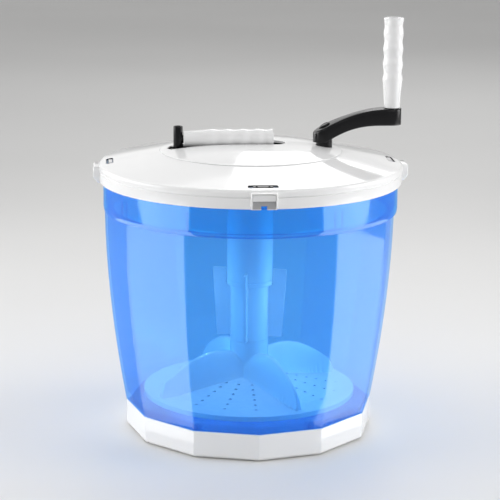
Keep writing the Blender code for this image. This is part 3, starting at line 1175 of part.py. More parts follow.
# Drive tube
def drive_tube(carrier):
    """Small gear, the tube that hangs from it and the ring that keeps them in the lid."""
    gear = prism(gear_outline(DRIVE_TEETH, math.pi / DRIVE_TEETH), GEAR_BOTTOM, GEAR_TOP)
    hex_hole = SPIGOT_HEX_RADIUS + FIT_GAP / HEX_SHARE
    cut(gear, hexagon(hex_hole, GEAR_BOTTOM - CUT_OVERRUN, GEAR_TOP + CUT_OVERRUN))
    place(gear, "drive_gear", "gear_plastic", carrier)
    bore = TUBE_HEX_RADIUS * HEX_SHARE - FIT_GAP
    shoulder = GEAR_BOTTOM - FIT_GAP
    groove = JOURNAL_RADIUS - RING_GROOVE_DEPTH
    ring_bottom = GEAR_TOP + FIT_GAP
    ring_top = ring_bottom + RING_THICKNESS
    core = SPIGOT_HEX_RADIUS * HEX_SHARE - FIT_GAP
    tube = turned((
        (0, JOURNAL_TOP),
        (JOURNAL_RADIUS, JOURNAL_TOP),
        (JOURNAL_RADIUS, ring_top + FIT_GAP),
        (groove, ring_top + FIT_GAP),
        (groove, ring_bottom - FIT_GAP),
        (core, ring_bottom - FIT_GAP),
        (core, shoulder),
        (TUBE_RADIUS, shoulder),
        (TUBE_RADIUS, TUBE_BOTTOM + TUBE_LEAD_IN),
        (TUBE_RADIUS - TUBE_LEAD_IN, TUBE_BOTTOM),
        (bore, TUBE_BOTTOM),
        (bore, TUBE_BORE_TOP),
        (0, TUBE_BORE_TOP),
    ), ROUND_STEPS)
    add(tube, hexagon(SPIGOT_HEX_RADIUS, shoulder - RUNNING_GAP, GEAR_TOP - FIT_GAP / 2))
    cut(tube, hexagon(TUBE_HEX_RADIUS, TUBE_BOTTOM - CUT_OVERRUN, TUBE_HEX_TOP))
    place(tube, "drive_tube", "agitator_white", carrier)
    keeper = ring(groove + FIT_GAP, groove + RING_WIDTH, ring_bottom, ring_top)
    place(keeper, "retaining_ring", "steel", carrier)


# Agitator
def plate_surface(radius):
    """Height of the plate's upper face at a distance from the axis."""
    if radius >= PLATE_CONE_OUTER:
        share = (radius - PLATE_CONE_OUTER) / (PLATE_RADIUS - PLATE_CONE_OUTER)
        return PLATE_CONE_OUTER_HEIGHT + (PLATE_RIM_HEIGHT - PLATE_CONE_OUTER_HEIGHT) * share
    share = (PLATE_CONE_OUTER - radius) / (PLATE_CONE_OUTER - PLATE_CONE_INNER)
    return PLATE_CONE_OUTER_HEIGHT + (PLATE_CONE_INNER_HEIGHT - PLATE_CONE_OUTER_HEIGHT) * share


def fin():
    """One broad agitator fin along +X, with a rounded crest that falls towards the rim."""
    rings = []
    for reach_share, height_share in FIN_CREST_SHARES:
        x = FIN_END_RADIUS * reach_share
        top = PLATE_RIM_HEIGHT + (FIN_PEAK_HEIGHT - PLATE_RIM_HEIGHT) * height_share
        bottom = plate_surface(max(x, PLATE_CONE_INNER)) - PLATE_THICKNESS / 2
        height = top - bottom
        left = [(x, half, bottom + height * share) for half, share in (
            (FIN_BASE_HALF, 0), (FIN_WAIST_HALF, FIN_WAIST_SHARE), (FIN_CREST_HALF, FIN_CREST_SHARE),
            (FIN_TIP_HALF, 1))]
        right = [(px, -py, pz) for px, py, pz in reversed(left)]
        rings.append(left + right)
    return loft(rings)


def hub_flare():
    """Points of the concave flare from the plate's cone up to the hub."""
    points = []
    for step in range(1, FLARE_STEPS):
        angle = math.pi / 2 * step / FLARE_STEPS
        points.append((PLATE_CONE_INNER - (PLATE_CONE_INNER - HUB_RADIUS) * math.sin(angle),
                       PLATE_CONE_INNER_HEIGHT + (HUB_TOP - PLATE_CONE_INNER_HEIGHT) * (1 - math.cos(angle))))
    return points


def agitator_plate(carrier):
    """Perforated cone with four fins and the hub that takes the bush and the column."""
    hub_bottom = PIVOT_BOSS_HEIGHT + 2 * FIT_GAP + THRUST_WASHER_THICKNESS
    bush_hole = PIVOT_BUSH_RADIUS + FIT_GAP
    under_hub = PLATE_CONE_INNER_HEIGHT - PLATE_THICKNESS
    rim_inner = PLATE_RADIUS - PLATE_THICKNESS
    rim_bottom = PLATE_RIM_HEIGHT - PLATE_RIM_DEPTH
    plate = turned([
        (bush_hole, hub_bottom),
        (HUB_FOOT_RADIUS, hub_bottom),
        (HUB_FOOT_RADIUS, under_hub),
        (PLATE_CONE_INNER - PLATE_THICKNESS, under_hub),
        (PLATE_CONE_OUTER, PLATE_CONE_OUTER_HEIGHT - PLATE_THICKNESS),
        (rim_inner, PLATE_RIM_HEIGHT - PLATE_THICKNESS),
        (rim_inner, rim_bottom),
        (PLATE_RADIUS, rim_bottom),
        (PLATE_RADIUS, PLATE_RIM_HEIGHT - RUNNING_GAP),
        (PLATE_RADIUS - RUNNING_GAP, PLATE_RIM_HEIGHT),
        (PLATE_CONE_OUTER, PLATE_CONE_OUTER_HEIGHT),
        (PLATE_CONE_INNER, PLATE_CONE_INNER_HEIGHT),
        *hub_flare(),
        (HUB_RADIUS, HUB_TOP),
        (HUB_BORE_RADIUS, HUB_TOP),
        (HUB_BORE_RADIUS, HUB_BORE_BOTTOM),
        (bush_hole, HUB_BORE_BOTTOM),
    ], ROUND_STEPS, closed=True)
    fins = [turn(fin(), FIN_PHASE - math.pi / 2 + math.tau * index / FIN_COUNT) for index in range(FIN_COUNT)]
    add(plate, gathered(fins))
    drains = []
    for sector in range(FIN_COUNT):
        for row in range(DRAIN_ROWS):
            angle = FIN_PHASE - math.pi / 2 + math.pi * (2 * sector + 1) / FIN_COUNT
            angle += DRAIN_ROW_ANGLE * (row - (DRAIN_ROWS - 1) / 2)
            for index in range(DRAIN_COUNT):
                share = index / (DRAIN_COUNT - 1)
                radius = DRAIN_FIRST_RADIUS + (DRAIN_LAST_RADIUS - DRAIN_FIRST_RADIUS) * share
                drains.append(disc(DRAIN_HOLE_RADIUS, rim_bottom, HUB_BORE_BOTTOM, HOLE_STEPS,
                                   radius * math.cos(angle), radius * math.sin(angle)))
    cut(plate, gathered(drains))
    place(plate, "agitator_plate", "agitator_white", carrier)


def agitator_column(carrier):
    """Hollow column that plugs into the plate's hub and up into the drive tube."""
    hex_radius = TUBE_HEX_RADIUS - FIT_GAP / HEX_SHARE
    core = hex_radius * HEX_SHARE - FIT_GAP
    seat = HUB_TOP + FIT_GAP
    spigot_radius = HUB_BORE_RADIUS - FIT_GAP
    shoulder = TUBE_BOTTOM - RUNNING_GAP
    column = turned((
        (0, HUB_BORE_BOTTOM + FIT_GAP),
        (spigot_radius, HUB_BORE_BOTTOM + FIT_GAP),
        (spigot_radius, seat),
        (HUB_RADIUS, seat),
        (HUB_RADIUS, shoulder),
        (core, shoulder),
        (core, COLUMN_HEX_TOP),
        (COLUMN_HOLLOW_RADIUS, COLUMN_HEX_TOP),
        (COLUMN_HOLLOW_RADIUS, COLUMN_HOLLOW_BOTTOM),
        (0, COLUMN_HOLLOW_BOTTOM),
    ), ROUND_STEPS)
    hex_end = hexagon(hex_radius, shoulder - RUNNING_GAP, COLUMN_HEX_TOP - FIT_GAP)
    cut(hex_end, disc(core - FIT_GAP, shoulder - CUT_OVERRUN, COLUMN_HEX_TOP + CUT_OVERRUN))
    add(column, hex_end)
    vanes = []
    for index in range(VANE_COUNT):
        angle = VANE_PHASE - math.pi / 2 + math.tau * index / VANE_COUNT
        inner = HUB_RADIUS - WALL
        upper_inner = TUBE_RADIUS + VANE_TUBE_GAP
        outline = ((inner, VANE_BOTTOM), (VANE_REACH, VANE_BOTTOM), (VANE_REACH, VANE_TOP),
                   (upper_inner, VANE_TOP), (upper_inner, shoulder), (inner, shoulder - RUNNING_GAP))
        vane = prism(outline, -VANE_HALF, VANE_HALF)
        vane.data.transform(Matrix.Rotation(math.pi / 2, 4, "X"))
        vanes.append(turn(vane, angle))
    add(column, gathered(vanes))
    place(column, "agitator_column", "agitator_white", carrier)


def pivot_bush(carrier):
    """Brass bush pressed in the plate's hub, which runs on the pivot pin."""
    bottom = PIVOT_BOSS_HEIGHT + 2 * FIT_GAP + THRUST_WASHER_THICKNESS
    bush = ring(PIVOT_PIN_RADIUS + FIT_GAP, PIVOT_BUSH_RADIUS, bottom, PIVOT_BUSH_TOP, SMALL_STEPS)
    place(bush, "pivot_bush", "brass", carrier)


def build():
    """Builds every body of the machine in an empty scene."""
    for item in list(bpy.data.objects):
        bpy.data.objects.remove(item, do_unlink=True)
    tub = pivot("tub")
    tub_shell(tub)
    base_shell(tub)
    base_fittings(tub)
    pivot_pin(tub)
    lid = pivot("lid")
    lid_shell(lid)
    seal_ring(lid)
    gearbox_cover(lid)
    lid_bushes(lid)
    handle_pin(lid)
    for index, side in enumerate(("right", "back", "left", "front")):
        latch_clip(index, f"latch_clip_{side}", lid)
    crank = pivot("crank", CRANK_CENTRE, lid)
    crank_drive(crank)
    crank_arm(crank)
    crank_fasteners(crank)
    grip = pivot("grip", GRIP_CENTRE, crank)
    crank_grip(crank, grip)
    drive = pivot("drive", parent=lid)
    drive_tube(drive)
    handle = pivot("handle", HANDLE_PIVOT, lid)
    side_handle(handle)
    agitator = pivot("agitator")
    agitator_plate(agitator)
    agitator_column(agitator)
    pivot_bush(agitator)


build()
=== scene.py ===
"""Manual shoe washing machine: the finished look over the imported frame.

Metres, +Z up. The origin is on the tub's axis on the ground, -Y is the front of the photo.
"""

import json
import math

import bmesh
import bpy
from mathutils import Matrix, Vector


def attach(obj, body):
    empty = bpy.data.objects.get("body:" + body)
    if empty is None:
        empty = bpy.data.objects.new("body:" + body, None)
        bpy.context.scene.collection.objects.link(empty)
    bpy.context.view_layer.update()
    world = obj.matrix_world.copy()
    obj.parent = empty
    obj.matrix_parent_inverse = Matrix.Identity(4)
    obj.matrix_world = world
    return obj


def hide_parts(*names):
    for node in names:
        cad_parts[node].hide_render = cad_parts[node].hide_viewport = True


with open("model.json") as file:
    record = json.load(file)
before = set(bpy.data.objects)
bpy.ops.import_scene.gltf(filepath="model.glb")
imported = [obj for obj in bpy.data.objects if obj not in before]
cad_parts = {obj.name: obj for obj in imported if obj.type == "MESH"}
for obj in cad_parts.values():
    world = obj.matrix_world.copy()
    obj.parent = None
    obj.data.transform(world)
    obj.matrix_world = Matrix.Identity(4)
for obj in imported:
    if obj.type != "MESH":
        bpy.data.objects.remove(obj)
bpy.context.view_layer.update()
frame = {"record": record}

# Walls and fits
FIT = 0.0003
WALL = 0.0025
SIDES = 12
FACET = math.cos(math.pi / SIDES)
HEX = math.cos(math.pi / 6)
CORNER_WALL = WALL / FACET
SCREW_HOLE = 0.0021
SCREW_BOSS = 0.0048

# Tub and base. The radii of the twelve-sided outlines reach to their corners
BASE = 0.1226
BASE_TOP = 0.0270
TUB_FOOT = 0.1229
TUB_HEAD = 0.1428
TUB_HEAD_HEIGHT = 0.2225
RIM = 0.144
BASE_SCREWS = 0.078
FEET = 0.095
RIB_ANGLES = (-61, -57.5, -119, 29, 32.5, 119, 122.5, 151, -151, -154.5)

# Lid: a raised disc, a groove round it and a slope that falls to the edge
LID = 0.1482
CROWN = 0.286
DISC = 0.0885
DISC_TOP = 0.0868
DISC_FALL = 0.0068
GROOVE = 0.0905
SLOPE_END = LID - 0.0040
SLOPE_HIGH = 0.2780
SLOPE_LOW = 0.2675
SKIRT = 0.2495
ABOVE_LID = 0.289
TROUGH_LEFT = -0.0815
TROUGH_RIGHT = 0.0335
TROUGH_HALF = 0.0115
TROUGH_FLOOR = 0.2745

# Latches, drawn at the right side of the lid and then turned to their place
LATCHES = ("right", "back", "left", "front")
UNDER_LATCH = 0.2465
OUTSIDE_LATCH = LID + 0.0085
CLIP_BOTTOM = 0.2623
CHANNEL_HALF = 0.0083
CHANNEL_TOP = 0.2645
LEG_NEAR = LID - 0.0094
STRIPS = (-0.0058, 0.0058)
STRIP_HALF = 0.0008
STRIP_BOTTOM = 0.2652

# Crank and gearbox cover, whose screws stand round the crank's axis and the tub's axis
SPACING = 0.072
REACH = 0.066
GRIP_X = SPACING + REACH
HUB = 0.0111
ARM_END = 0.0094
ARM_TAPER = 0.0017
ARM_WAIST = 0.0082
SCREW_EAR = 0.0052
COVER_SCREWS = ((SPACING, 0.055, (40, -40, 100, -100)), (0.0, 0.031, (140, -140)))

# Grips and folding handle
GRIP_LENGTH = 0.0875
GRIP_LIP = 0.0866
GRIP_FOOT = 0.00775
GRIP_BULGE = 0.00935
WAVE_START = 0.024
WAVES = 4.25
POST_X = -0.0711
HINGE_X = -0.0777
HINGE_Z = 0.2797
HANDLE_Z = 0.2897

# Agitator, with the yaw of its fins and vanes as the photo shows them
FIN_YAW = math.radians(24.7) - math.pi / 2
VANE_YAW = math.radians(-12.8) - math.pi / 2
DRIVE_HEX = 0.0190
CONE_EDGE = (0.084, 0.041)
CONE_HEAD = (0.026, 0.0531)
CREST = ((0.0150, 0.0755), (0.0220, 0.0775), (0.0370, 0.0795), (0.0470, 0.0788),
         (0.0570, 0.0763), (0.0670, 0.0719), (0.0790, 0.0650), (0.0880, 0.0592),
         (0.0940, 0.0546), (0.0965, 0.0490), (0.0987, 0.0402), (0.1200, 0.0300))


# Node materials
def tree_of(name):
    """Makes an empty material and returns it with its tree, shader and output."""
    material = bpy.data.materials.new(name)
    material.use_nodes = True
    tree = material.node_tree
    shader = tree.nodes["Principled BSDF"]
    output = tree.nodes["Material Output"]
    return material, tree, shader, output


def noise(tree, scale, detail=3.0, stretch=None):
    """Adds a noise texture in object space, at a scale given in features per metre."""
    place = tree.nodes.new("ShaderNodeTexCoord")
    texture = tree.nodes.new("ShaderNodeTexNoise")
    texture.inputs["Scale"].default_value = scale
    texture.inputs["Detail"].default_value = detail
    socket = place.outputs["Object"]
    if stretch is not None:
        mapping = tree.nodes.new("ShaderNodeMapping")
        mapping.inputs["Scale"].default_value = stretch
        tree.links.new(socket, mapping.inputs["Vector"])
        socket = mapping.outputs["Vector"]
    tree.links.new(socket, texture.inputs["Vector"])
    return texture.outputs["Fac"]


def spread(tree, socket, low, high, start=0.35, end=0.65):
    """Maps a value from start to end, such as a noise value, to a range."""
    mapping = tree.nodes.new("ShaderNodeMapRange")
    mapping.inputs["From Min"].default_value = start
    mapping.inputs["From Max"].default_value = end
    mapping.inputs["To Min"].default_value = low
    mapping.inputs["To Max"].default_value = high
    tree.links.new(socket, mapping.inputs["Value"])
    return mapping.outputs["Result"]


def tinted(tree, socket, first, second):
    """Mixes two colours by a value."""
    ramp = tree.nodes.new("ShaderNodeValToRGB")
    ramp.color_ramp.elements[0].position = 0.3
    ramp.color_ramp.elements[1].position = 0.7
    ramp.color_ramp.elements[0].color = (*first, 1.0)
    ramp.color_ramp.elements[1].color = (*second, 1.0)
    tree.links.new(socket, ramp.inputs["Fac"])
    return ramp.outputs["Color"]


def bumped(tree, shader, socket, strength, distance, rounding):
    """Gives a shader a bumped normal, with its edges rounded off by a bevel."""
    bump = tree.nodes.new("ShaderNodeBump")
    bump.inputs["Strength"].default_value = strength
    bump.inputs["Distance"].default_value = distance
    tree.links.new(socket, bump.inputs["Height"])
    bevel = tree.nodes.new("ShaderNodeBevel")
    bevel.samples = 4
    bevel.inputs["Radius"].default_value = rounding
    tree.links.new(bevel.outputs["Normal"], bump.inputs["Normal"])
    tree.links.new(bump.outputs["Normal"], shader.inputs["Normal"])


def plastic(name, first, second, gloss, bump=0.05, ior=1.48):
    """Moulded plastic: faint colour drift, uneven gloss and a fine moulded grain."""
    material, tree, shader, _ = tree_of(name)
    drift = noise(tree, scale=9.0, detail=2.0)
    tree.links.new(tinted(tree, drift, first, second), shader.inputs["Base Color"])
    patches = noise(tree, scale=38.0, detail=4.0)
    tree.links.new(spread(tree, patches, *gloss), shader.inputs["Roughness"])
    grain = noise(tree, scale=1400.0, detail=2.0)
    bumped(tree, shader, grain, strength=bump, distance=0.0002, rounding=0.0004)
    shader.inputs["IOR"].default_value = ior
    return material


def metal(name, first, second, gloss):
    """Turned or drawn metal with fine lines and uneven gloss."""
    material, tree, shader, _ = tree_of(name)
    lines = noise(tree, scale=900.0, stretch=(1.0, 1.0, 0.05))
    tree.links.new(tinted(tree, lines, first, second), shader.inputs["Base Color"])
    patches = noise(tree, scale=160.0)
    tree.links.new(spread(tree, patches, *gloss), shader.inputs["Roughness"])
    bumped(tree, shader, lines, strength=0.12, distance=0.0001, rounding=0.0002)
    shader.inputs["Metallic"].default_value = 1.0
    return material


def clear_blue(name, first, second, tint, share, ior, sheen=(1.0, 1.0, 1.0)):
    """See-through blue plastic: a tinted film mixed with a share of a glossy blue body.

    The share rises from its first value, seen face on, to its second, seen at a slant.
    """
    material, tree, shader, output = tree_of(name)
    drift = noise(tree, scale=7.0, detail=2.0)
    tree.links.new(tinted(tree, drift, first, second), shader.inputs["Base Color"])
    patches = noise(tree, scale=22.0, detail=2.0)
    tree.links.new(spread(tree, patches, 0.05, 0.09), shader.inputs["Roughness"])
    shader.inputs["IOR"].default_value = ior
    shader.inputs["Specular Tint"].default_value = (*sheen, 1.0)
    swell = noise(tree, scale=9.0, detail=1.0)
    bumped(tree, shader, swell, strength=0.02, distance=0.0004, rounding=0.0003)
    film = tree.nodes.new("ShaderNodeBsdfTransparent")
    film.inputs["Color"].default_value = (*tint, 1.0)
    facing = tree.nodes.new("ShaderNodeLayerWeight")
    facing.inputs["Blend"].default_value = 0.30
    body = spread(tree, facing.outputs["Facing"], *share, start=0.0, end=1.0)
    mix = tree.nodes.new("ShaderNodeMixShader")
    tree.links.new(body, mix.inputs["Fac"])
    tree.links.new(film.outputs["BSDF"], mix.inputs[1])
    tree.links.new(shader.outputs["BSDF"], mix.inputs[2])
    tree.links.new(mix.outputs["Shader"], output.inputs["Surface"])
    return material


MATERIALS = {
    "lid_white": plastic("lid_white_look", (0.855, 0.856, 0.858), (0.872, 0.873, 0.874),
                         gloss=(0.06, 0.12), bump=0.02),
    "agitator_white": plastic("agitator_look", (0.84, 0.87, 0.93), (0.86, 0.89, 0.95),
                              gloss=(0.13, 0.22)),
    "gear_plastic": plastic("gear_look", (0.70, 0.69, 0.63), (0.76, 0.75, 0.70),
                            gloss=(0.34, 0.48)),
    "arm_black": plastic("arm_look", (0.004, 0.004, 0.005), (0.007, 0.007, 0.008),
                         gloss=(0.16, 0.26), ior=1.34),
    "steel": metal("steel_look", (0.52, 0.53, 0.55), (0.63, 0.64, 0.66), gloss=(0.20, 0.36)),
    "brass": metal("brass_look", (0.58, 0.41, 0.17), (0.70, 0.52, 0.24), gloss=(0.24, 0.40)),
    "seal_rubber": plastic("seal_look", (0.40, 0.41, 0.42), (0.47, 0.48, 0.49),
                           gloss=(0.60, 0.80), bump=0.2),
    "foot_rubber": plastic("foot_look", (0.045, 0.045, 0.050), (0.065, 0.065, 0.070),
                           gloss=(0.68, 0.88), bump=0.25),
    "tub_blue": clear_blue("tub_look", (0.014, 0.280, 0.98), (0.020, 0.310, 1.0),
                           tint=(0.53, 0.83, 1.0), share=(0.14, 0.48), ior=2.8),
}
# The collar's deeper, denser blue than the tub's stands both for its own colour and for painted
# shade under the lid's edge.
COLLAR = clear_blue("collar_look", (0.004, 0.285, 0.97), (0.006, 0.310, 1.0),
                    tint=(0.14, 0.71, 1.0), share=(0.20, 0.55), ior=3.4,
                    sheen=(0.80, 0.97, 1.0))
# Painted shade: a near-black look for thin sheets set in the handle trough, round the latch
# windows and in the clip's grooves.
PAINTED_SHADE = plastic("painted_shade_look", (0.012, 0.012, 0.013), (0.018, 0.018, 0.020),
               gloss=(0.45, 0.60), ior=1.40)
# Painted shade: a dark blue look for the discs that darken the inside of the drain holes.
PAINTED_HOLE_SHADE = plastic("painted_hole_shade_look", (0.010, 0.045, 0.16), (0.014, 0.055, 0.18),
                gloss=(0.40, 0.60), ior=1.40)
# Painted shade: a grey look for the groove at the raised disc's foot and for the backs of the
# fingernail recesses.
PAINTED_GREY_SHADE = plastic("painted_grey_shade_look", (0.36, 0.36, 0.37), (0.42, 0.42, 0.43), gloss=(0.35, 0.55))


# Mesh helpers
def solid(shape):
    """Turns a bmesh into an object of the scene."""
    bmesh.ops.remove_doubles(shape, verts=shape.verts, dist=0.000001)
    bmesh.ops.recalc_face_normals(shape, faces=shape.faces)
    mesh = bpy.data.meshes.new("shape")
    shape.to_mesh(mesh)
    shape.free()
    item = bpy.data.objects.new("shape", mesh)
    bpy.context.scene.collection.objects.link(item)
    return item


def turned(profile, steps, closed=False):
    """Spins (radius, height) points about Z."""
    shape = bmesh.new()
    points = [shape.verts.new((radius, 0, height)) for radius, height in profile]
    pairs = list(zip(points, points[1:]))
    if closed:
        pairs.append((points[-1], points[0]))
    edges = [shape.edges.new(pair) for pair in pairs]
    bmesh.ops.spin(shape, geom=points + edges, cent=(0, 0, 0), axis=(0, 0, 1),
                   angle=math.tau, steps=steps, use_merge=True)
    return solid(shape)


def prism(outline, bottom, top):
    """Raises a flat outline from one height to another."""
    shape = bmesh.new()
    face = shape.faces.new([shape.verts.new((x, y, bottom)) for x, y in outline])
    grown = bmesh.ops.extrude_face_region(shape, geom=[face])
    risen = [part for part in grown["geom"] if isinstance(part, bmesh.types.BMVert)]
    bmesh.ops.translate(shape, vec=(0, 0, top - bottom), verts=risen)
    return solid(shape)


def loft(rings):
    """Joins closed rings of equally many points, with a face over the first and the last."""
    shape = bmesh.new()
    rows = [[shape.verts.new(point) for point in ring] for ring in rings]
    count = len(rows[0])
    for lower, upper in zip(rows, rows[1:]):
        for index in range(count):
            following = (index + 1) % count
            shape.faces.new((lower[index], lower[following], upper[following], upper[index]))
    shape.faces.new(rows[0])
    shape.faces.new(rows[-1])
    return solid(shape)


def polar(radius, angle, x=0.0, y=0.0):
    """Point at a distance and an angle from a middle."""
    return x + radius * math.cos(angle), y + radius * math.sin(angle)


def circle(radius, steps, x=0.0, y=0.0, phase=0.0):
    return [polar(radius, phase + math.tau * step / steps, x, y) for step in range(steps)]


def line(start, end, steps):
    """Evenly spaced points on the way from start to end, without the start itself."""
    return [(start[0] + (end[0] - start[0]) * step / steps,
             start[1] + (end[1] - start[1]) * step / steps) for step in range(1, steps + 1)]


def disc(radius, bottom, top, steps=48, x=0.0, y=0.0):
    return prism(circle(radius, steps, x, y), bottom, top)


def discs(radius, bottom, top, steps, places):
    """One disc at each place, as a list."""
    return [disc(radius, bottom, top, steps, x, y) for x, y in places]


def hexagon(radius, bottom, top):
    return prism(circle(radius, 6), bottom, top)


def rounded(corners, closed=False, steps=5):
    """Returns a path with its corners drawn round. Each corner is (x, y, radius)."""
    path = []
    count = len(corners)
    for index, (x, y, radius) in enumerate(corners):
        if radius == 0 or (not closed and index in (0, count - 1)):
            path.append((x, y))
            continue
        here = Vector((x, y))
        back = Vector(corners[index - 1][:2]) - here
        ahead = Vector(corners[(index + 1) % count][:2]) - here
        half = back.angle(ahead) / 2
        reach = min(radius / math.tan(half), back.length * 0.49, ahead.length * 0.49)
        start, end = here + back.normalized() * reach, here + ahead.normalized() * reach
        for step in range(steps + 1):
            share = step / steps
            point = start * (1 - share) ** 2 + here * 2 * share * (1 - share) + end * share ** 2
            path.append(tuple(point))
    return path


def box_outline(low, high, radius):
    corners = ((low[0], low[1]), (high[0], low[1]), (high[0], high[1]), (low[0], high[1]))
    return rounded([(x, y, radius) for x, y in corners], closed=True, steps=4)


def soft_block(low, high, radius=0.0, edge=0.0):
    """A box with round upright corners and softened top and bottom edges."""
    bottom, top = low[2], high[2]
    if edge == 0:
        return prism(box_outline(low, high, radius), bottom, top)
    slight = edge * 0.3
    rings = []
    for inset, height in ((edge, bottom), (slight, bottom + slight), (0, bottom + edge),
                          (0, top - edge), (slight, top - slight), (edge, top)):
        outline = box_outline((low[0] + inset, low[1] + inset), (high[0] - inset, high[1] - inset),
                              max(radius - inset * 0.5, 0.0001))
        rings.append([(x, y, height) for x, y in outline])
    return loft(rings)


def capsule(left, right, half_width, steps):
    """Outline of a slot along X with round ends."""
    points = []
    for middle, start in ((right - half_width, -math.pi / 2), (left + half_width, math.pi / 2)):
        for step in range(steps + 1):
            points.append(polar(half_width, math.pi * step / steps + start, middle))
    return points


def combine(target, tool, operation):
    """Applies a boolean to the target's mesh and deletes the tool."""
    modifier = target.modifiers.new("combine", "BOOLEAN")
    modifier.operation = operation
    modifier.solver = "EXACT"
    modifier.object = tool
    graph = bpy.context.evaluated_depsgraph_get()
    result = bpy.data.meshes.new_from_object(target.evaluated_get(graph))
    target.modifiers.remove(modifier)
    spent = [target.data, tool.data]
    target.data = result
    bpy.data.objects.remove(tool)
    for mesh in spent:
        bpy.data.meshes.remove(mesh)
    return target


def add(target, *tools):
    for tool in tools:
        combine(target, tool, "UNION")
    return target


def cut(target, *tools):
    for tool in tools:
        combine(target, tool, "DIFFERENCE")
    return target


def gathered(items):
    """Puts the meshes of several objects into one object."""
    shape = bmesh.new()
    for item in items:
        shape.from_mesh(item.data)
        mesh = item.data
        bpy.data.objects.remove(item)
        bpy.data.meshes.remove(mesh)
    return solid(shape)


def moved(item, matrix):
    item.data.transform(matrix)
    return item


def turn(item, angle):
    return moved(item, Matrix.Rotation(angle, 4, "Z"))


def shift(item, x=0.0, y=0.0, z=0.0):
    return moved(item, Matrix.Translation((x, y, z)))


def along_y(item):
    return moved(item, Matrix.Rotation(math.pi / 2, 4, "X"))


def along_x(item):
    return moved(item, Matrix.Rotation(math.pi / 2, 4, "Y"))


def to_latch(item, index):
    """Turns a piece that is drawn at the right side to the place of a latch."""
    return turn(item, math.tau * index / len(LATCHES))


def at_latches(make):
    """Makes a piece at each latch and puts them into one object."""
    return gathered([to_latch(make(), index) for index in range(len(LATCHES))])


def piece(item, name, slot, body, *nodes, sharp=32, look=None):
    """Finishes a piece: name, look, shading, and the body and nodes that it stands for."""
    item.name = name
    item.data.name = name
    item.data.materials.clear()
    item.data.materials.append(look or MATERIALS[slot])
    item.data.shade_smooth()
    item.data.set_sharp_from_angle(angle=math.radians(sharp))
    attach(item, body)
    if nodes:
        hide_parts(*nodes)
    return item


# Shared forms
def lid_surface(radius):
    """Height of the lid's top surface at a distance from the axis."""
    if radius <= DISC:
        return CROWN - DISC_FALL * (radius / DISC) ** 3
    share = (radius - GROOVE) / (SLOPE_END - GROOVE)
    return SLOPE_HIGH + (SLOPE_LOW - SLOPE_HIGH) * min(max(share, 0.0), 1.0)


def lid_section(reach, steps, drop=0.0):
    """Points (radius, height) along the lid's top surface, lowered by a drop."""
    radii = [reach * step / steps for step in range(steps + 1)]
    return [(radius, lid_surface(radius) - drop) for radius in radii]


def tub_radius(height):
    share = (TUB_HEAD_HEIGHT - height) / (TUB_HEAD_HEIGHT - BASE_TOP)
    return TUB_HEAD - (TUB_HEAD - TUB_FOOT) * max(share, 0.0) ** 1.8


def twelve(radius, height, rounding=0.0035):
    """The tub's outline at a height, with round corners, one of them at the front."""
    corners = [(x, y, rounding) for x, y in circle(radius, SIDES, phase=-math.pi / 2)]
    return [(x, y, height) for x, y in rounded(corners, closed=True, steps=3)]


def quarters(radius):
    """Four places between the latches, at a distance from the axis."""
    return circle(radius, 4, phase=math.pi / 4)


def screw_places():
    """Places of the gearbox cover's screws."""
    places = []
    for middle, wall, angles in COVER_SCREWS:
        radius = wall + SCREW_EAR - WALL
        places += [polar(radius, math.radians(angle), middle) for angle in angles]
    return places


# Tub
def tub_wall():
    """Faceted wall with a floor, and below it the tongue that stands in the base."""
    tongue = BASE - CORNER_WALL - FIT / FACET
    inside = tongue - CORNER_WALL
    low, high, count = 0.0273, 0.22115, 26
    levels = [low + (high - low) * step / count for step in range(count + 1)]
    rings = [twelve(tongue - 0.0008, 0.018), twelve(tongue, 0.0188), twelve(tongue, 0.0272)]
    rings += [twelve(tub_radius(level), level) for level in levels]
    rings += [twelve(tub_radius(level) - CORNER_WALL, level) for level in reversed(levels[1:])]
    rings += [twelve(inside - inset, height) for inset, height in
              ((0, 0.0300), (0.0006, 0.0240), (0.0020, 0.0214), (0.0045, 0.0205))]
    return loft(rings)


def collar():
    """Round collar over the facets, with its rim bead, lugs and ribs."""
    shelf = (TUB_HEAD - CORNER_WALL) * FACET - WALL / 2
    ring = turned(rounded((
        (shelf, 0.22125, 0.0003), (RIM - 0.0006, 0.22125, 0.0006), (RIM, 0.2250, 0.001),
        (RIM, 0.2552, 0.0002), (RIM + 0.0014, 0.2557, 0.0004), (RIM + 0.0014, 0.2570, 0.0004),
        (RIM, 0.2575, 0.0004), (RIM - 0.0025, 0.2575, 0.0006), (RIM - 0.0025, 0.2275, 0.001),
        (RIM - 0.0050, 0.22375, 0.0004), (shelf, 0.22375, 0.0004)),
        closed=True, steps=3), 192, closed=True)
    lugs = at_latches(lambda: soft_block(
        (RIM - 0.0013, -0.0023, 0.2500), (RIM + 0.0056, 0.0023, 0.2525), 0.0006, 0.0004))
    ribs = [turn(soft_block((RIM - 0.0045, -0.0007, 0.2235), (RIM - 0.0013, 0.0007, 0.2420),
                            0.0004, 0.0003), math.radians(angle)) for angle in RIB_ANGLES]
    return add(ring, lugs, gathered(ribs))


def tub():
    shell = tub_wall()
    piece(collar(), "tub_collar", "tub_blue", "tub", "tub_shell", sharp=24, look=COLLAR)
    bosses = discs(SCREW_BOSS, 0.0075, 0.01925, 32, quarters(BASE_SCREWS))
    pivot = turned(rounded((
        (0, 0.01925, 0), (0.0125, 0.01925, 0), (0.0110, 0.0215, 0.002), (0.0085, 0.032, 0.0006),
        (0, 0.032, 0))), 48)
    add(shell, gathered(bosses), pivot)
    holes = discs(SCREW_HOLE, 0.0045, 0.0170, 20, quarters(BASE_SCREWS))
    holes.append(disc(0.0043, 0.0217, 0.035, 24))
    cut(shell, gathered(holes))
    piece(shell, "tub_body", "tub_blue", "tub", "tub_shell", sharp=24)


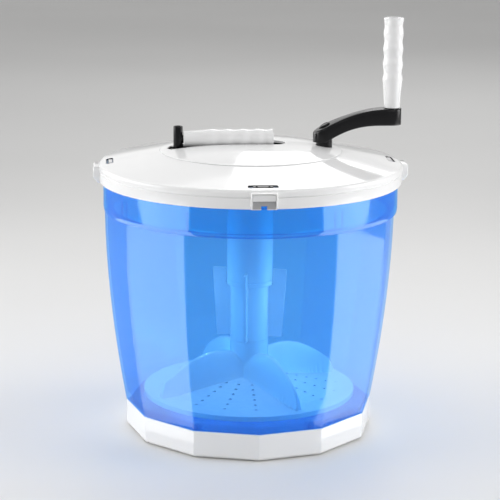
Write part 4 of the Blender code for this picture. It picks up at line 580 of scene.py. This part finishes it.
def base():
    """White tray under the tub, on four rubber feet."""
    section = rounded((
        (0.1206, 0.0012, 0), (BASE, 0.0032, 0.0016), (BASE, BASE_TOP, 0.0006),
        (BASE - CORNER_WALL, BASE_TOP, 0.0006), (BASE - CORNER_WALL, 0.0037, 0.0015),
        (0.1180, 0.0037, 0)), steps=4)
    tray = loft([twelve(radius, height) for radius, height in section])
    add(tray, gathered(discs(0.0085, 0.00245, 0.0072, 40, quarters(BASE_SCREWS))))
    cut(tray, gathered(discs(0.0040, -0.002, 0.0041, 32, quarters(BASE_SCREWS))))
    holes = discs(SCREW_HOLE, 0.0012, 0.0102, 20, quarters(BASE_SCREWS))
    holes += discs(0.0033, -0.002, 0.0067, 24, quarters(FEET))
    cut(tray, gathered(holes))
    piece(tray, "base_tray", "lid_white", "tub", "base_shell")
    for index, (x, y) in enumerate(quarters(FEET), 1):
        foot = turned(rounded((
            (0, 0, 0), (0.0083, 0, 0.0004), (0.0090, 0.0009, 0.0002), (0.0030, 0.0009, 0),
            (0.0030, 0.0060, 0.0005), (0, 0.0060, 0)), steps=4), 48)
        piece(shift(foot, x, y), f"foot_{index}", "foot_rubber", "tub", f"rubber_foot_{index}")


# Lid
def lid_walls():
    """Trough and bosses under the lid, trimmed to the middle of its top wall."""
    walls = prism(capsule(TROUGH_LEFT - WALL, TROUGH_RIGHT + WALL, TROUGH_HALF + WALL, 24),
                  0.2721, ABOVE_LID)
    add(walls, disc(0.0176, 0.2672, 0.27335, 64))
    add(walls, disc(0.0098, 0.2675, ABOVE_LID, 48, SPACING))
    add(walls, gathered(discs(SCREW_BOSS, 0.2663, ABOVE_LID, 28, screw_places())))
    reach, bottom = 0.137, 0.250
    core = turned(lid_section(reach, 40, WALL / 2) + [(reach, bottom), (0, bottom)], 96)
    return combine(walls, core, "INTERSECT")


def latch_cutters(index):
    """Pocket, channel, window, hook relief and fingernail notch of one latch."""
    pocket = soft_block((LID + 0.0016, -0.0106, UNDER_LATCH), (OUTSIDE_LATCH, 0.0106, 0.2638),
                        0.0006)
    channel = soft_block((LID - 0.0143, -CHANNEL_HALF, 0.2590),
                         (OUTSIDE_LATCH, CHANNEL_HALF, CHANNEL_TOP))
    window = soft_block((LID - 0.0140, -0.0140, CLIP_BOTTOM), (LID - 0.0072, 0.0140, 0.286),
                        0.0022)
    relief = soft_block((LID - 0.0050, -0.0038, 0.2550), (LID + 0.0007, 0.0038, CHANNEL_TOP))
    notch = soft_block((LID - 0.0050, -0.0028, UNDER_LATCH), (OUTSIDE_LATCH, 0.0028, 0.2530),
                       0.0004)
    return [to_latch(tool, index) for tool in (pocket, channel, window, relief, notch)]


def housing():
    """Latch housing with round corners, drawn back to the lid at its foot."""
    inner, outer = LID - 0.00125, LID + 0.0055
    rings = []
    for height, reach, side in (
            (SKIRT, 0.0014, 0.0117), (0.2500, 0.0018, 0.0121), (0.2545, 0.0052, 0.0123),
            (0.2556, 0.0055, 0.0123), (0.2642, 0.0055, 0.0123), (0.2651, 0.0051, 0.0120),
            (0.2655, 0.0043, 0.0114)):
        outline = rounded([(inner, -side, 0), (LID + reach, -side, 0.0011),
                           (LID + reach, side, 0.0011), (inner, side, 0)], closed=True, steps=4)
        rings.append([(min(x, outer), y, height) for x, y in outline])
    return loft(rings)


def lid_shell():
    dome = [(*point, 0) for point in lid_section(DISC_TOP, 30)]
    under = [(*point, 0) for point in reversed(lid_section(DISC, 12, WALL))]
    profile = rounded(dome + [
        (DISC, 0.27920, 0.0007), (0.0893, 0.2782, 0.0006), (GROOVE, SLOPE_HIGH, 0.0010),
        (LID, 0.26672, 0.0060), (LID, 0.2608, 0.0002), (LID - 0.0012, 0.2605, 0.0001),
        (LID - 0.0012, 0.2600, 0.0001), (LID - 0.0004, 0.2596, 0.0002),
        (LID - 0.0004, 0.2503, 0.0006), (LID - 0.0010, SKIRT, 0.0004),
        (LID - 0.0025, SKIRT, 0.0004), (LID - 0.0025, 0.2620, 0.0004), (0.1370, 0.2620, 0.0008),
        (0.1350, 0.2665, 0.001), (GROOVE, 0.2755, 0.001)] + under, steps=6)
    shell = turned(profile, 224)
    add(shell, at_latches(housing), lid_walls())
    for index in range(len(LATCHES)):
        cut(shell, *latch_cutters(index))
    cut(shell, prism(capsule(TROUGH_LEFT, TROUGH_RIGHT, TROUGH_HALF, 32),
                     TROUGH_FLOOR, ABOVE_LID))
    holes = [disc(0.0071, 0.250, ABOVE_LID, 48, SPACING)]
    holes += discs(SCREW_HOLE, 0.263, 0.2698, 20, screw_places())
    cut(shell, gathered(holes))
    cut(shell, disc(0.0083, 0.2803, ABOVE_LID, 64, SPACING))
    cut(shell, disc(0.0146, 0.2645, 0.2721, 64))
    pin_hole = along_y(disc(0.0016, -0.0112, 0.0112, 24))
    cut(shell, shift(pin_hole, HINGE_X, 0, HINGE_Z))
    piece(shell, "lid_body", "lid_white", "lid", "lid_shell", sharp=30)


def trough_shade_sheet():
    """Painted shade in the handle trough: a thin dark shell on its walls and floor, cut down to
    just below the lid's surface.
    """
    thickness, drop, above = 0.0004, 0.0004, 0.295
    shade_sheet = prism(capsule(TROUGH_LEFT, TROUGH_RIGHT, TROUGH_HALF, 32), TROUGH_FLOOR, 0.2838)
    room = prism(capsule(TROUGH_LEFT + thickness, TROUGH_RIGHT - thickness,
                         TROUGH_HALF - thickness, 32), TROUGH_FLOOR + thickness, ABOVE_LID)
    skin = turned(lid_section(DISC_TOP, 30, drop) + [(DISC_TOP, above), (0, above)], 96)
    return cut(shade_sheet, room, skin)


def slope_trim(drop, limit):
    """Prism between a height and the plane that lies a drop below the lid's slope."""
    inner, outer = LID - 0.0200, LID - 0.0040
    slope = (SLOPE_HIGH - SLOPE_LOW) / (SLOPE_END - GROOVE)
    near = lid_surface(inner) - drop
    far = near - 0.0160 * slope
    return along_y(prism([(inner, limit), (inner, near), (outer, far), (outer, limit)],
                         -0.02, 0.02))


def window_edge_shade():
    """Painted shade at a latch window: a thin dark band just under its top edge."""
    shade_band = soft_block((LID - 0.01395, -0.01395, CLIP_BOTTOM),
                            (LID - 0.00725, 0.01395, 0.2700), 0.0022)
    cut(shade_band, soft_block((LID - 0.0135, -0.0135, 0.2610), (LID - 0.0077, 0.0135, 0.2720),
                               0.0019))
    cut(shade_band, soft_block((LID - 0.0143, -CHANNEL_HALF, 0.2610),
                               (LID, CHANNEL_HALF, CHANNEL_TOP)))
    return cut(shade_band, slope_trim(0.0002, 0.2900), slope_trim(0.0015, 0.2500))


def recess_shade():
    """Painted shade in a fingernail recess: a grey plate on its back, with a notch for the tub's
    lug.
    """
    back = soft_block((LID + 0.0012, -0.01045, 0.2503), (LID + 0.0020, 0.01045, 0.2572))
    return cut(back, soft_block((LID, -0.0029, 0.2490), (LID + 0.0030, 0.0029, 0.2531)))


def lid():
    lid_shell()
    # Painted shade: a grey ring on the small step at the foot of the raised disc, where the groove
    # lies in shade.
    painted_grey_shade = turned(rounded((
        (0.0880, 0.2774, 0), (0.0891, 0.2774, 0.0002), (0.0891, 0.2787, 0.0002),
        (0.0880, 0.2787, 0)), closed=True, steps=2), 224, closed=True)
    piece(painted_grey_shade, "disc_painted_grey_shade", "lid_white", "lid", look=PAINTED_GREY_SHADE)
    # Painted shade on the walls and floor of the handle trough.
    piece(trough_shade_sheet(), "trough_shade_sheet", "arm_black", "lid", look=PAINTED_SHADE)
    # Painted shade round the top edges of the latch windows.
    piece(at_latches(window_edge_shade), "window_edge_shades", "arm_black", "lid", look=PAINTED_SHADE)
    # Painted shade in the fingernail recesses under the latch clips.
    piece(at_latches(recess_shade), "latch_recess_shades", "lid_white", "lid", look=PAINTED_GREY_SHADE)
    seal = turned(rounded((
        (0.1385, 0.2578, 0.0008), (0.1438, 0.2578, 0.0008), (0.1438, 0.2617, 0.0008),
        (0.1385, 0.2617, 0.0008)), closed=True), 160, closed=True)
    piece(seal, "rim_seal", "seal_rubber", "lid", "seal_ring")


def latch(index, side):
    """One pull clip with its grooved leg, which shows in the window, and its hook."""
    leg_top = lid_surface(LEG_NEAR)
    clip = soft_block((LID - 0.0124, -0.0080, CLIP_BOTTOM), (LID + 0.0042, 0.0080, 0.2642))
    face = []
    for height, back in ((0.2575, 0.0020), (0.2578, 0.0014), (0.2584, 0.0011),
                         (0.2630, 0.0001), (0.2635, 0.0004)):
        outline = box_outline((LID + 0.0031, -0.0103), (LID + 0.0050 - back, 0.0103), 0.0003)
        face.append([(x, y, height) for x, y in outline])
    face = loft(face)
    leg = soft_block((LID - 0.0131, -0.0090, 0.2639), (LEG_NEAR, 0.0090, leg_top), 0.0005)
    hook = soft_block((RIM + 0.0017, -0.0035, 0.2552), (RIM + 0.0030, 0.0035, 0.26325))
    add(clip, face, leg, hook)
    cut(clip, gathered([soft_block((LID - 0.0134, y - STRIP_HALF, STRIP_BOTTOM),
                                   (LID - 0.0084, y + STRIP_HALF, 0.272)) for y in STRIPS]))
    # Painted shade: thin dark strips set in the leg's two grooves and along the gap at its near
    # edge.
    top = leg_top - 0.0005
    gap_shades = [soft_block((LID - 0.01305, y - STRIP_HALF, STRIP_BOTTOM),
                         (LID - 0.00945, y + STRIP_HALF, top)) for y in STRIPS]
    gap_shades.append(soft_block((LID - 0.0096, -0.0090, top - 0.0010),
                             (LID - 0.00935, 0.0090, top + 0.0005)))
    piece(to_latch(gathered(gap_shades), index), f"clip_gap_shade_{side}", "arm_black", f"latch_{side}",
          look=PAINTED_SHADE)
    piece(to_latch(clip, index), f"pull_clip_{side}", "lid_white", f"latch_{side}",
          f"latch_clip_{side}")


# Crank
def swept(share, power):
    """Rise from 0 to 1 that starts steep and levels off."""
    return 1 - (1 - min(max(share, 0.0), 1.0)) ** power


def arm_heights(x):
    """Bottom and top of the crank arm at a distance from the crank's axis."""
    bottom = 0.2862 + 0.0166 * swept(x / 0.0566, 2.3)
    top = 0.2957 + 0.0236 * swept((x + HUB) / 0.0724, 1.85)
    return bottom, top


def arm_half(x):
    """Half the crank arm's width: round at both ends, with a waist between."""
    if x <= 0:
        return math.sqrt(max(HUB ** 2 - x ** 2, 0.0))
    if x >= REACH:
        return math.sqrt(max(ARM_END ** 2 - (x - REACH) ** 2, 0.0))
    plain = HUB - ARM_TAPER * x / REACH
    return plain - (plain - ARM_WAIST) * math.sin(math.pi * x / REACH) ** 2


def arm():
    stations = [-HUB * math.cos(math.pi / 2 * step / 12) for step in range(1, 12)]
    stations += [REACH * step / 40 for step in range(41)]
    stations += [REACH + ARM_END * math.sin(math.pi / 2 * step / 12) for step in range(1, 12)]
    rings = []
    for x in stations:
        half = arm_half(x)
        bottom, top = arm_heights(x)
        edge = min(0.0022, half * 0.6)
        section = rounded([(-half, bottom, edge), (half, bottom, edge), (half, top, edge),
                           (-half, top, edge)], closed=True, steps=4)
        rings.append([(x, y, z) for y, z in section])
    blade = loft(rings)
    boss = turned(rounded((
        (0, 0.2808, 0), (0.0078, 0.2808, 0.0005), (0.0078, 0.2910, 0), (0, 0.2910, 0))), 64)
    add(blade, boss)
    cut(blade, hexagon(0.004 + FIT / HEX, 0.2778, 0.2940))
    cut(blade, disc(SCREW_HOLE, 0.2907, 0.3193, 24))
    cut(blade, disc(0.0053, 0.2967, 0.3193, 48))
    cut(blade, disc(0.0043, 0.3080, 0.3223, 32, REACH))
    piece(shift(blade, SPACING), "arm_blade", "arm_black", "crank", "crank_arm", sharp=28)
    cap = turned(rounded((
        (0, -0.0022, 0), (0.0050, -0.0022, 0.0002), (0.0050, 0.0006, 0.0004),
        (0.0040, 0.0009, 0.0004), (0.0030, 0.0006, 0.0004), (0, 0.0006, 0))), 48)
    moved(cap, Matrix.Rotation(math.radians(-27.6), 4, "Y"))
    shift(cap, SPACING + 0.0002, 0, 0.3030)
    piece(cap, "arm_cap", "arm_black", "crank", "crank_cap")


# Grips
def grip_radius(distance):
    """Radius of a grip at a distance from its foot."""
    if distance <= WAVE_START:
        return GRIP_FOOT + 0.0016 * (distance / WAVE_START) ** 1.3
    wave = (GRIP_LENGTH - WAVE_START) / WAVES
    return GRIP_BULGE + 0.00045 * math.cos(math.tau * ((distance - WAVE_START) / wave - 0.25))


def grip():
    """Hollow grip standing on height zero, waved for the fingers, with a wider mouth on top."""
    start = 0.0012
    profile = rounded(((0.0045, 0, 0), (GRIP_FOOT, 0, 0.0008), (0.00778, start, 0)), steps=4)
    for step in range(1, 100):
        distance = start + (GRIP_LIP - start) * step / 100
        profile.append((grip_radius(distance), distance))
    last = grip_radius(GRIP_LIP)
    profile += rounded((
        (last, GRIP_LIP, 0), (last, GRIP_LENGTH, 0.0008), (0.0062, GRIP_LENGTH, 0.0005),
        (0.0062, 0.0805, 0.0003), (0.0045, 0.0805, 0)), steps=4)
    return turned(profile, 72, closed=True)


def grips():
    upright = shift(grip(), GRIP_X, 0, 0.3198)
    piece(upright, "upright_grip", "lid_white", "grip", "crank_grip", sharp=50)
    side = shift(along_x(grip()), -0.06605, 0, HANDLE_Z)
    piece(side, "side_grip", "lid_white", "handle", "handle_grip", sharp=50)
    pin = turned(rounded((
        (0, 0.3083, 0), (0.0040, 0.3083, 0.0003), (0.0040, 0.4008, 0), (0.0056, 0.4008, 0.0002),
        (0.0056, 0.4030, 0.0005), (0.0022, 0.4030, 0.0003), (0.0018, 0.4022, 0),
        (0, 0.4022, 0))), 40)
    piece(shift(pin, GRIP_X), "grip_axle", "steel", "crank", "grip_pin")


def lever():
    """Black post, core rod and hinge lug of the side handle."""
    post = turned(rounded((
        (0, 0.2770, 0), (0.00455, 0.2770, 0.0004), (0.00455, 0.3025, 0.0007),
        (0.0034, 0.3025, 0.0003), (0.0034, 0.3016, 0.0003), (0, 0.3016, 0)), steps=4), 56)
    shift(post, POST_X)
    core = along_x(turned((
        (0, 0), (0.0040, 0), (0.0040, 0.08605), (0.0056, 0.08605), (0.0056, 0.08795),
        (0.0053, 0.08825), (0, 0.08825)), 40))
    shift(core, POST_X, 0, HANDLE_Z)
    lug = shift(along_y(disc(0.0030, -0.003, 0.003, 40)), HINGE_X, 0, HINGE_Z)
    link = soft_block((HINGE_X, -0.0027, 0.2773), (POST_X, 0.0027, 0.2824))
    add(post, core, lug, link)
    cut(post, shift(along_y(disc(0.0016, -0.0115, 0.0115, 28)), HINGE_X, 0, HINGE_Z))
    piece(post, "handle_post", "arm_black", "handle", "handle_lever")


# Drive tube and agitator
def tube():
    """Drive sleeve with its hexagon for the small gear and its hexagonal socket."""
    sleeve = turned(rounded((
        (0, 0.2712, 0), (0.0115, 0.2712, 0.0004), (0.0115, 0.2665, 0), (0.0103, 0.2665, 0),
        (0.0103, 0.2650, 0), (0.01156, 0.2650, 0), (0.01156, 0.2572, 0),
        (0.0228, 0.2572, 0.0004), (0.0228, 0.1500, 0.0002), (0.0223, 0.1495, 0.0002),
        (0.0223, 0.1489, 0.0002), (0.0228, 0.1484, 0.0002), (0.0228, 0.1446, 0.0008),
        (0.01615, 0.1446, 0.0004), (0.01615, 0.250, 0), (0, 0.250, 0)), steps=4), 96)
    add(sleeve, hexagon(0.0137, 0.2567, 0.26485))
    cut(sleeve, hexagon(DRIVE_HEX, 0.1416, 0.208))
    piece(sleeve, "drive_sleeve", "agitator_white", "drive", "drive_tube")


def crest_height(radius):
    """Height of a fin's crest at a distance from the axis."""
    for (r0, z0), (r1, z1) in zip(CREST, CREST[1:]):
        if r0 <= radius <= r1:
            share = (radius - r0) / (r1 - r0)
            return z0 + (z1 - z0) * share
    return CREST[0][1]


def finned(x, y, z):
    """Height of a point of the plate's upper face, raised where a fin's smooth hump stands."""
    ridge = 0.0012
    radius = math.hypot(x, y)
    angle = math.atan2(y, x) - FIN_YAW
    off = (angle + math.pi / 4) % (math.pi / 2) - math.pi / 4
    aside = abs(radius * math.sin(off))
    outward = min(max((radius * math.cos(off) - 0.030) / 0.063, -0.3), 1.0)
    half = 0.0142 - 0.0110 * outward
    share = min(max((aside - ridge) / (half - ridge), 0.0), 1.0)
    weight = math.cos(math.pi / 2 * share) ** 1.15 if share < 1 else 0.0
    return z + max(crest_height(radius) - z, 0.0) * weight


def drain_places():
    """Radius, x and y of each drain hole: three rows of six in each sector between fins."""
    places = []
    inner, outer, holes = 0.0381, 0.0875, 6
    for sector in range(4):
        middle = FIN_YAW + math.pi / 4 * (2 * sector + 1)
        for row in (-1, 0, 1):
            angle = middle + math.radians(20.1) * row
            for index in range(holes):
                radius = inner + (outer - inner) * index / (holes - 1)
                places.append((radius, *polar(radius, angle)))
    return places


def plate():
    """Agitator plate: a low cone with fins, a flared hub, a rim and rows of drain holes."""
    lip, hub, hub_foot = (0.1036, 0.0396), (0.019, 0.0880), (0.019, 0.0651)
    upper = [(0.1046, 0.0395), lip]
    upper += line(lip, CONE_EDGE, 8)
    upper += line(CONE_EDGE, CONE_HEAD, 40)[:-1]
    for step in range(11):
        angle = math.pi / 2 * step / 10
        upper.append((CONE_HEAD[0] - 0.007 * math.sin(angle),
                      CONE_HEAD[1] + 0.012 * (1 - math.cos(angle))))
    upper += line(hub_foot, hub, 12)
    rest = [(0.0186, 0.0882), (0.0123, 0.0880), (0.0123, 0.0615), (0.0073, 0.0615),
            (0.0073, 0.0336), (0.0110, 0.0336), (0.0110, 0.0484), (0.0334, 0.0484),
            (0.084, 0.0384), (0.1024, 0.0369), (0.1024, 0.0345), (0.1046, 0.0345),
            (0.1050, 0.0349), (0.1050, 0.0391)]
    steps = 320
    shape = bmesh.new()
    rows = []
    for step in range(steps):
        angle = math.tau * step / steps
        row = []
        for index, (radius, height) in enumerate(upper + rest):
            x, y = polar(radius, angle)
            z = finned(x, y, height) if index < len(upper) else height
            row.append(shape.verts.new((x, y, z)))
        rows.append(row)
    for first, second in zip(rows, rows[1:] + rows[:1]):
        for index, vertex in enumerate(first):
            following = (index + 1) % len(first)
            shape.faces.new((vertex, first[following], second[following], second[index]))
    body = solid(shape)
    # Each drain hole is cut through, and a dark disc set just under its top paints the shade
    # inside the hole.
    drains, shade_discs = [], []
    for radius, x, y in drain_places():
        rise = 0.0121 * max(CONE_EDGE[0] - radius, 0.0) / 0.058
        top = finned(x, y, CONE_EDGE[1] + rise)
        drains.append(disc(0.0015, 0.0345, 0.0655, 12, x, y))
        shade_discs.append(disc(0.00149, 0.0375, top - 0.0006, 12, x, y))
    cut(body, gathered(drains))
    piece(gathered(shade_discs), "drain_hole_shades", "agitator_white", "agitator", look=PAINTED_HOLE_SHADE)
    piece(body, "agitator_disc", "agitator_white", "agitator", "agitator_plate", sharp=40)


def column():
    """Hollow agitator column with its hexagon for the drive tube and four flat vanes."""
    body = turned(rounded((
        (0, 0.0618, 0), (0.0120, 0.0618, 0.0004), (0.0120, 0.0883, 0), (0.0190, 0.0883, 0.0006),
        (0.0190, 0.1441, 0.0006), (0.01585, 0.1441, 0), (0.01585, 0.2050, 0.0004),
        (0.0130, 0.2050, 0.0004), (0.0130, 0.0950, 0.001), (0, 0.0950, 0)), steps=4), 80)
    hex_end = hexagon(DRIVE_HEX - FIT / HEX, 0.1436, 0.2047)
    cut(hex_end, disc(0.0155, 0.1406, 0.2080, 80))
    add(body, hex_end)
    outline = rounded((
        (0.0165, 0.0910, 0), (0.0325, 0.0910, 0.0015), (0.0370, 0.1600, 0.0015),
        (0.0234, 0.1600, 0.0006), (0.0234, 0.1441, 0), (0.0165, 0.1436, 0)),
        closed=True, steps=4)
    vanes = [turn(along_y(prism(outline, -0.0012, 0.0012)), VANE_YAW + math.pi / 2 * index)
             for index in range(4)]
    add(body, gathered(vanes))
    piece(body, "agitator_post", "agitator_white", "agitator", "agitator_column")


# Stage, lamps and camera
def stage():
    """Plain pale floor that sweeps up into a backdrop."""
    half_width, front, back, bend, height = 7.0, -6.0, 5.4, 1.8, 8.0
    profile = [(front, 0.0), (back, 0.0)]
    for step in range(1, 13):
        angle = math.pi / 2 * step / 12
        profile.append((back + bend * math.sin(angle), bend * (1 - math.cos(angle))))
    profile.append((back + bend, height))
    shape = bmesh.new()
    left = [shape.verts.new((-half_width, y, z)) for y, z in profile]
    right = [shape.verts.new((half_width, y, z)) for y, z in profile]
    for index in range(len(profile) - 1):
        shape.faces.new((left[index], right[index], right[index + 1], left[index + 1]))
    mesh = bpy.data.meshes.new("sweep")
    shape.to_mesh(mesh)
    shape.free()
    mesh.shade_smooth()
    sweep = bpy.data.objects.new("sweep", mesh)
    bpy.context.scene.collection.objects.link(sweep)
    material, tree, shader, _ = tree_of("sweep_look")
    drift = noise(tree, scale=1.5, detail=2.0)
    tree.links.new(tinted(tree, drift, (0.725, 0.722, 0.715), (0.755, 0.752, 0.745)),
                   shader.inputs["Base Color"])
    shader.inputs["Roughness"].default_value = 0.55
    mesh.materials.append(material)


def lamp(name, place, target, size, radiance, beam=180, diffuse=True, glossy=True):
    """Area lamp of a given brightness and beam angle, turned to a target."""
    width, height = size
    data = bpy.data.lights.new(name, "AREA")
    data.shape = "RECTANGLE"
    data.size = width
    data.size_y = height
    data.spread = math.radians(beam)
    data.energy = radiance * math.pi * width * height
    item = bpy.data.objects.new(name, data)
    item.location = place
    item.rotation_euler = (Vector(target) - Vector(place)).to_track_quat("-Z", "Y").to_euler()
    item.visible_camera = False
    item.visible_diffuse = diffuse
    item.visible_glossy = glossy
    bpy.context.scene.collection.objects.link(item)
    return item


def glow(name, place, power):
    """Small round lamp that doesn't show in reflections."""
    data = bpy.data.lights.new(name, "POINT")
    data.energy = power
    data.shadow_soft_size = 0.012
    item = bpy.data.objects.new(name, data)
    item.location = place
    item.visible_camera = False
    item.visible_glossy = False
    bpy.context.scene.collection.objects.link(item)


def card(side):
    """Bright card flat on the floor beside the object, which shows only in reflections."""
    x, y = side * 0.764, -0.214
    item = lamp("card", (x, y, 0.002), (x, y, 1.0), (1.18, 0.70), 2.6, diffuse=False)
    item.rotation_euler.z = -side * math.atan2(0.6, 0.8)


def studio_lights():
    """Lamps round the object."""
    lamp("top", (0.0, -0.1, 1.8), (0, 0, 0.2), (1.6, 1.6), 0.64)
    lamp("front_left", (-0.9, -2.3, 1.3), (0, 0, 0.15), (1.0, 1.0), 1.8)
    lamp("front_right", (1.1, -2.3, 1.1), (0, 0, 0.15), (1.0, 1.0), 1.9)
    lamp("left", (-1.7, 0.1, 0.6), (0, 0, 0.25), (1.5, 1.0), 0.98, beam=80)
    lamp("right", (1.7, -0.1, 0.6), (0, 0, 0.25), (1.2, 1.0), 1.32, beam=80)
    lamp("left_back", (-1.3, 1.0, 0.5), (0, 0, 0.2), (0.8, 0.8), 0.85, beam=80)
    lamp("back_fill", (0.7, 2.4, 1.7), (0, 0, 0.2), (1.2, 1.2), 2.0)
    lamp("back", (0.0, 2.6, 1.5), (0, 0, 0.6), (2.6, 2.2), 0.56, diffuse=False)
    lamp("edge", (0.0, 1.3, 1.8), (0, 0, 0.3), (1.8, 0.14), 6.0)
    lamp("wash", (0.0, 3.6, 3.2), (0, 4.4, 0), (4.0, 2.0), 1.0)


def inner_lights():
    """Small lamps inside the tub, and two that only put sparks on the plate."""
    lamp("inner", (0.0, 0.0, 0.236), (0, 0, 0), (0.20, 0.20), 0.46, beam=80, glossy=False)
    lamp("inner_low", (0.0, 0.0, 0.0335), (0, 0, 0), (0.15, 0.15), 1.1, glossy=False)
    lamp("inner_front", (0.0, -0.100, 0.130), (0, 0, 0.070), (0.10, 0.08), 0.40, glossy=False)
    for index, (x, y) in enumerate(((-0.036, -0.030), (0.030, -0.040))):
        lamp(f"spark_{index}", (x, y, 0.170), (x, y, 0.0), (0.015, 0.015), 25.0,
             beam=60, diffuse=False)
    glow("inner_right", (0.062, -0.014, 0.135), 0.060)
    glow("inner_left", (-0.058, 0.004, 0.140), 0.020)


def lights():
    world = bpy.data.worlds.new("studio")
    world.use_nodes = True
    background = world.node_tree.nodes["Background"]
    background.inputs["Color"].default_value = (1.0, 1.0, 1.0, 1.0)
    background.inputs["Strength"].default_value = 0.38
    bpy.context.scene.world = world
    studio_lights()
    inner_lights()
    card(-1)
    card(1)


def camera():
    """Camera fitted to the photo: long lens, from the front and a little from the left."""
    data = bpy.data.cameras.new("camera")
    data.sensor_width = 36.0
    data.lens = 133.6
    data.clip_start = 0.05
    data.clip_end = 40.0
    item = bpy.data.objects.new("camera", data)
    yaw, tilt, roll = (math.radians(angle) for angle in (-4.8, 77.045, 0.465))
    turned_by = (Matrix.Rotation(yaw, 4, "Z") @ Matrix.Rotation(tilt, 4, "X")
                 @ Matrix.Rotation(roll, 4, "Z"))
    item.matrix_world = Matrix.Translation((-0.14966, -1.78225, 0.58964)) @ turned_by
    bpy.context.scene.collection.objects.link(item)
    bpy.context.scene.camera = item


def dress_nodes():
    """Gives the CAD nodes that stay their finished looks."""
    for entry in frame["record"]["subparts"]:
        item = bpy.data.objects.get(entry["node"])
        if item is not None and item.type == "MESH":
            for slot in item.material_slots:
                slot.material = MATERIALS[entry["material_slot"]]


camera()
dress_nodes()
tub()
base()
lid()
for number, side_name in enumerate(LATCHES):
    latch(number, side_name)
arm()
grips()
lever()
tube()
plate()
column()
stage()
lights()
bpy.context.scene.view_settings.view_transform = "Standard"
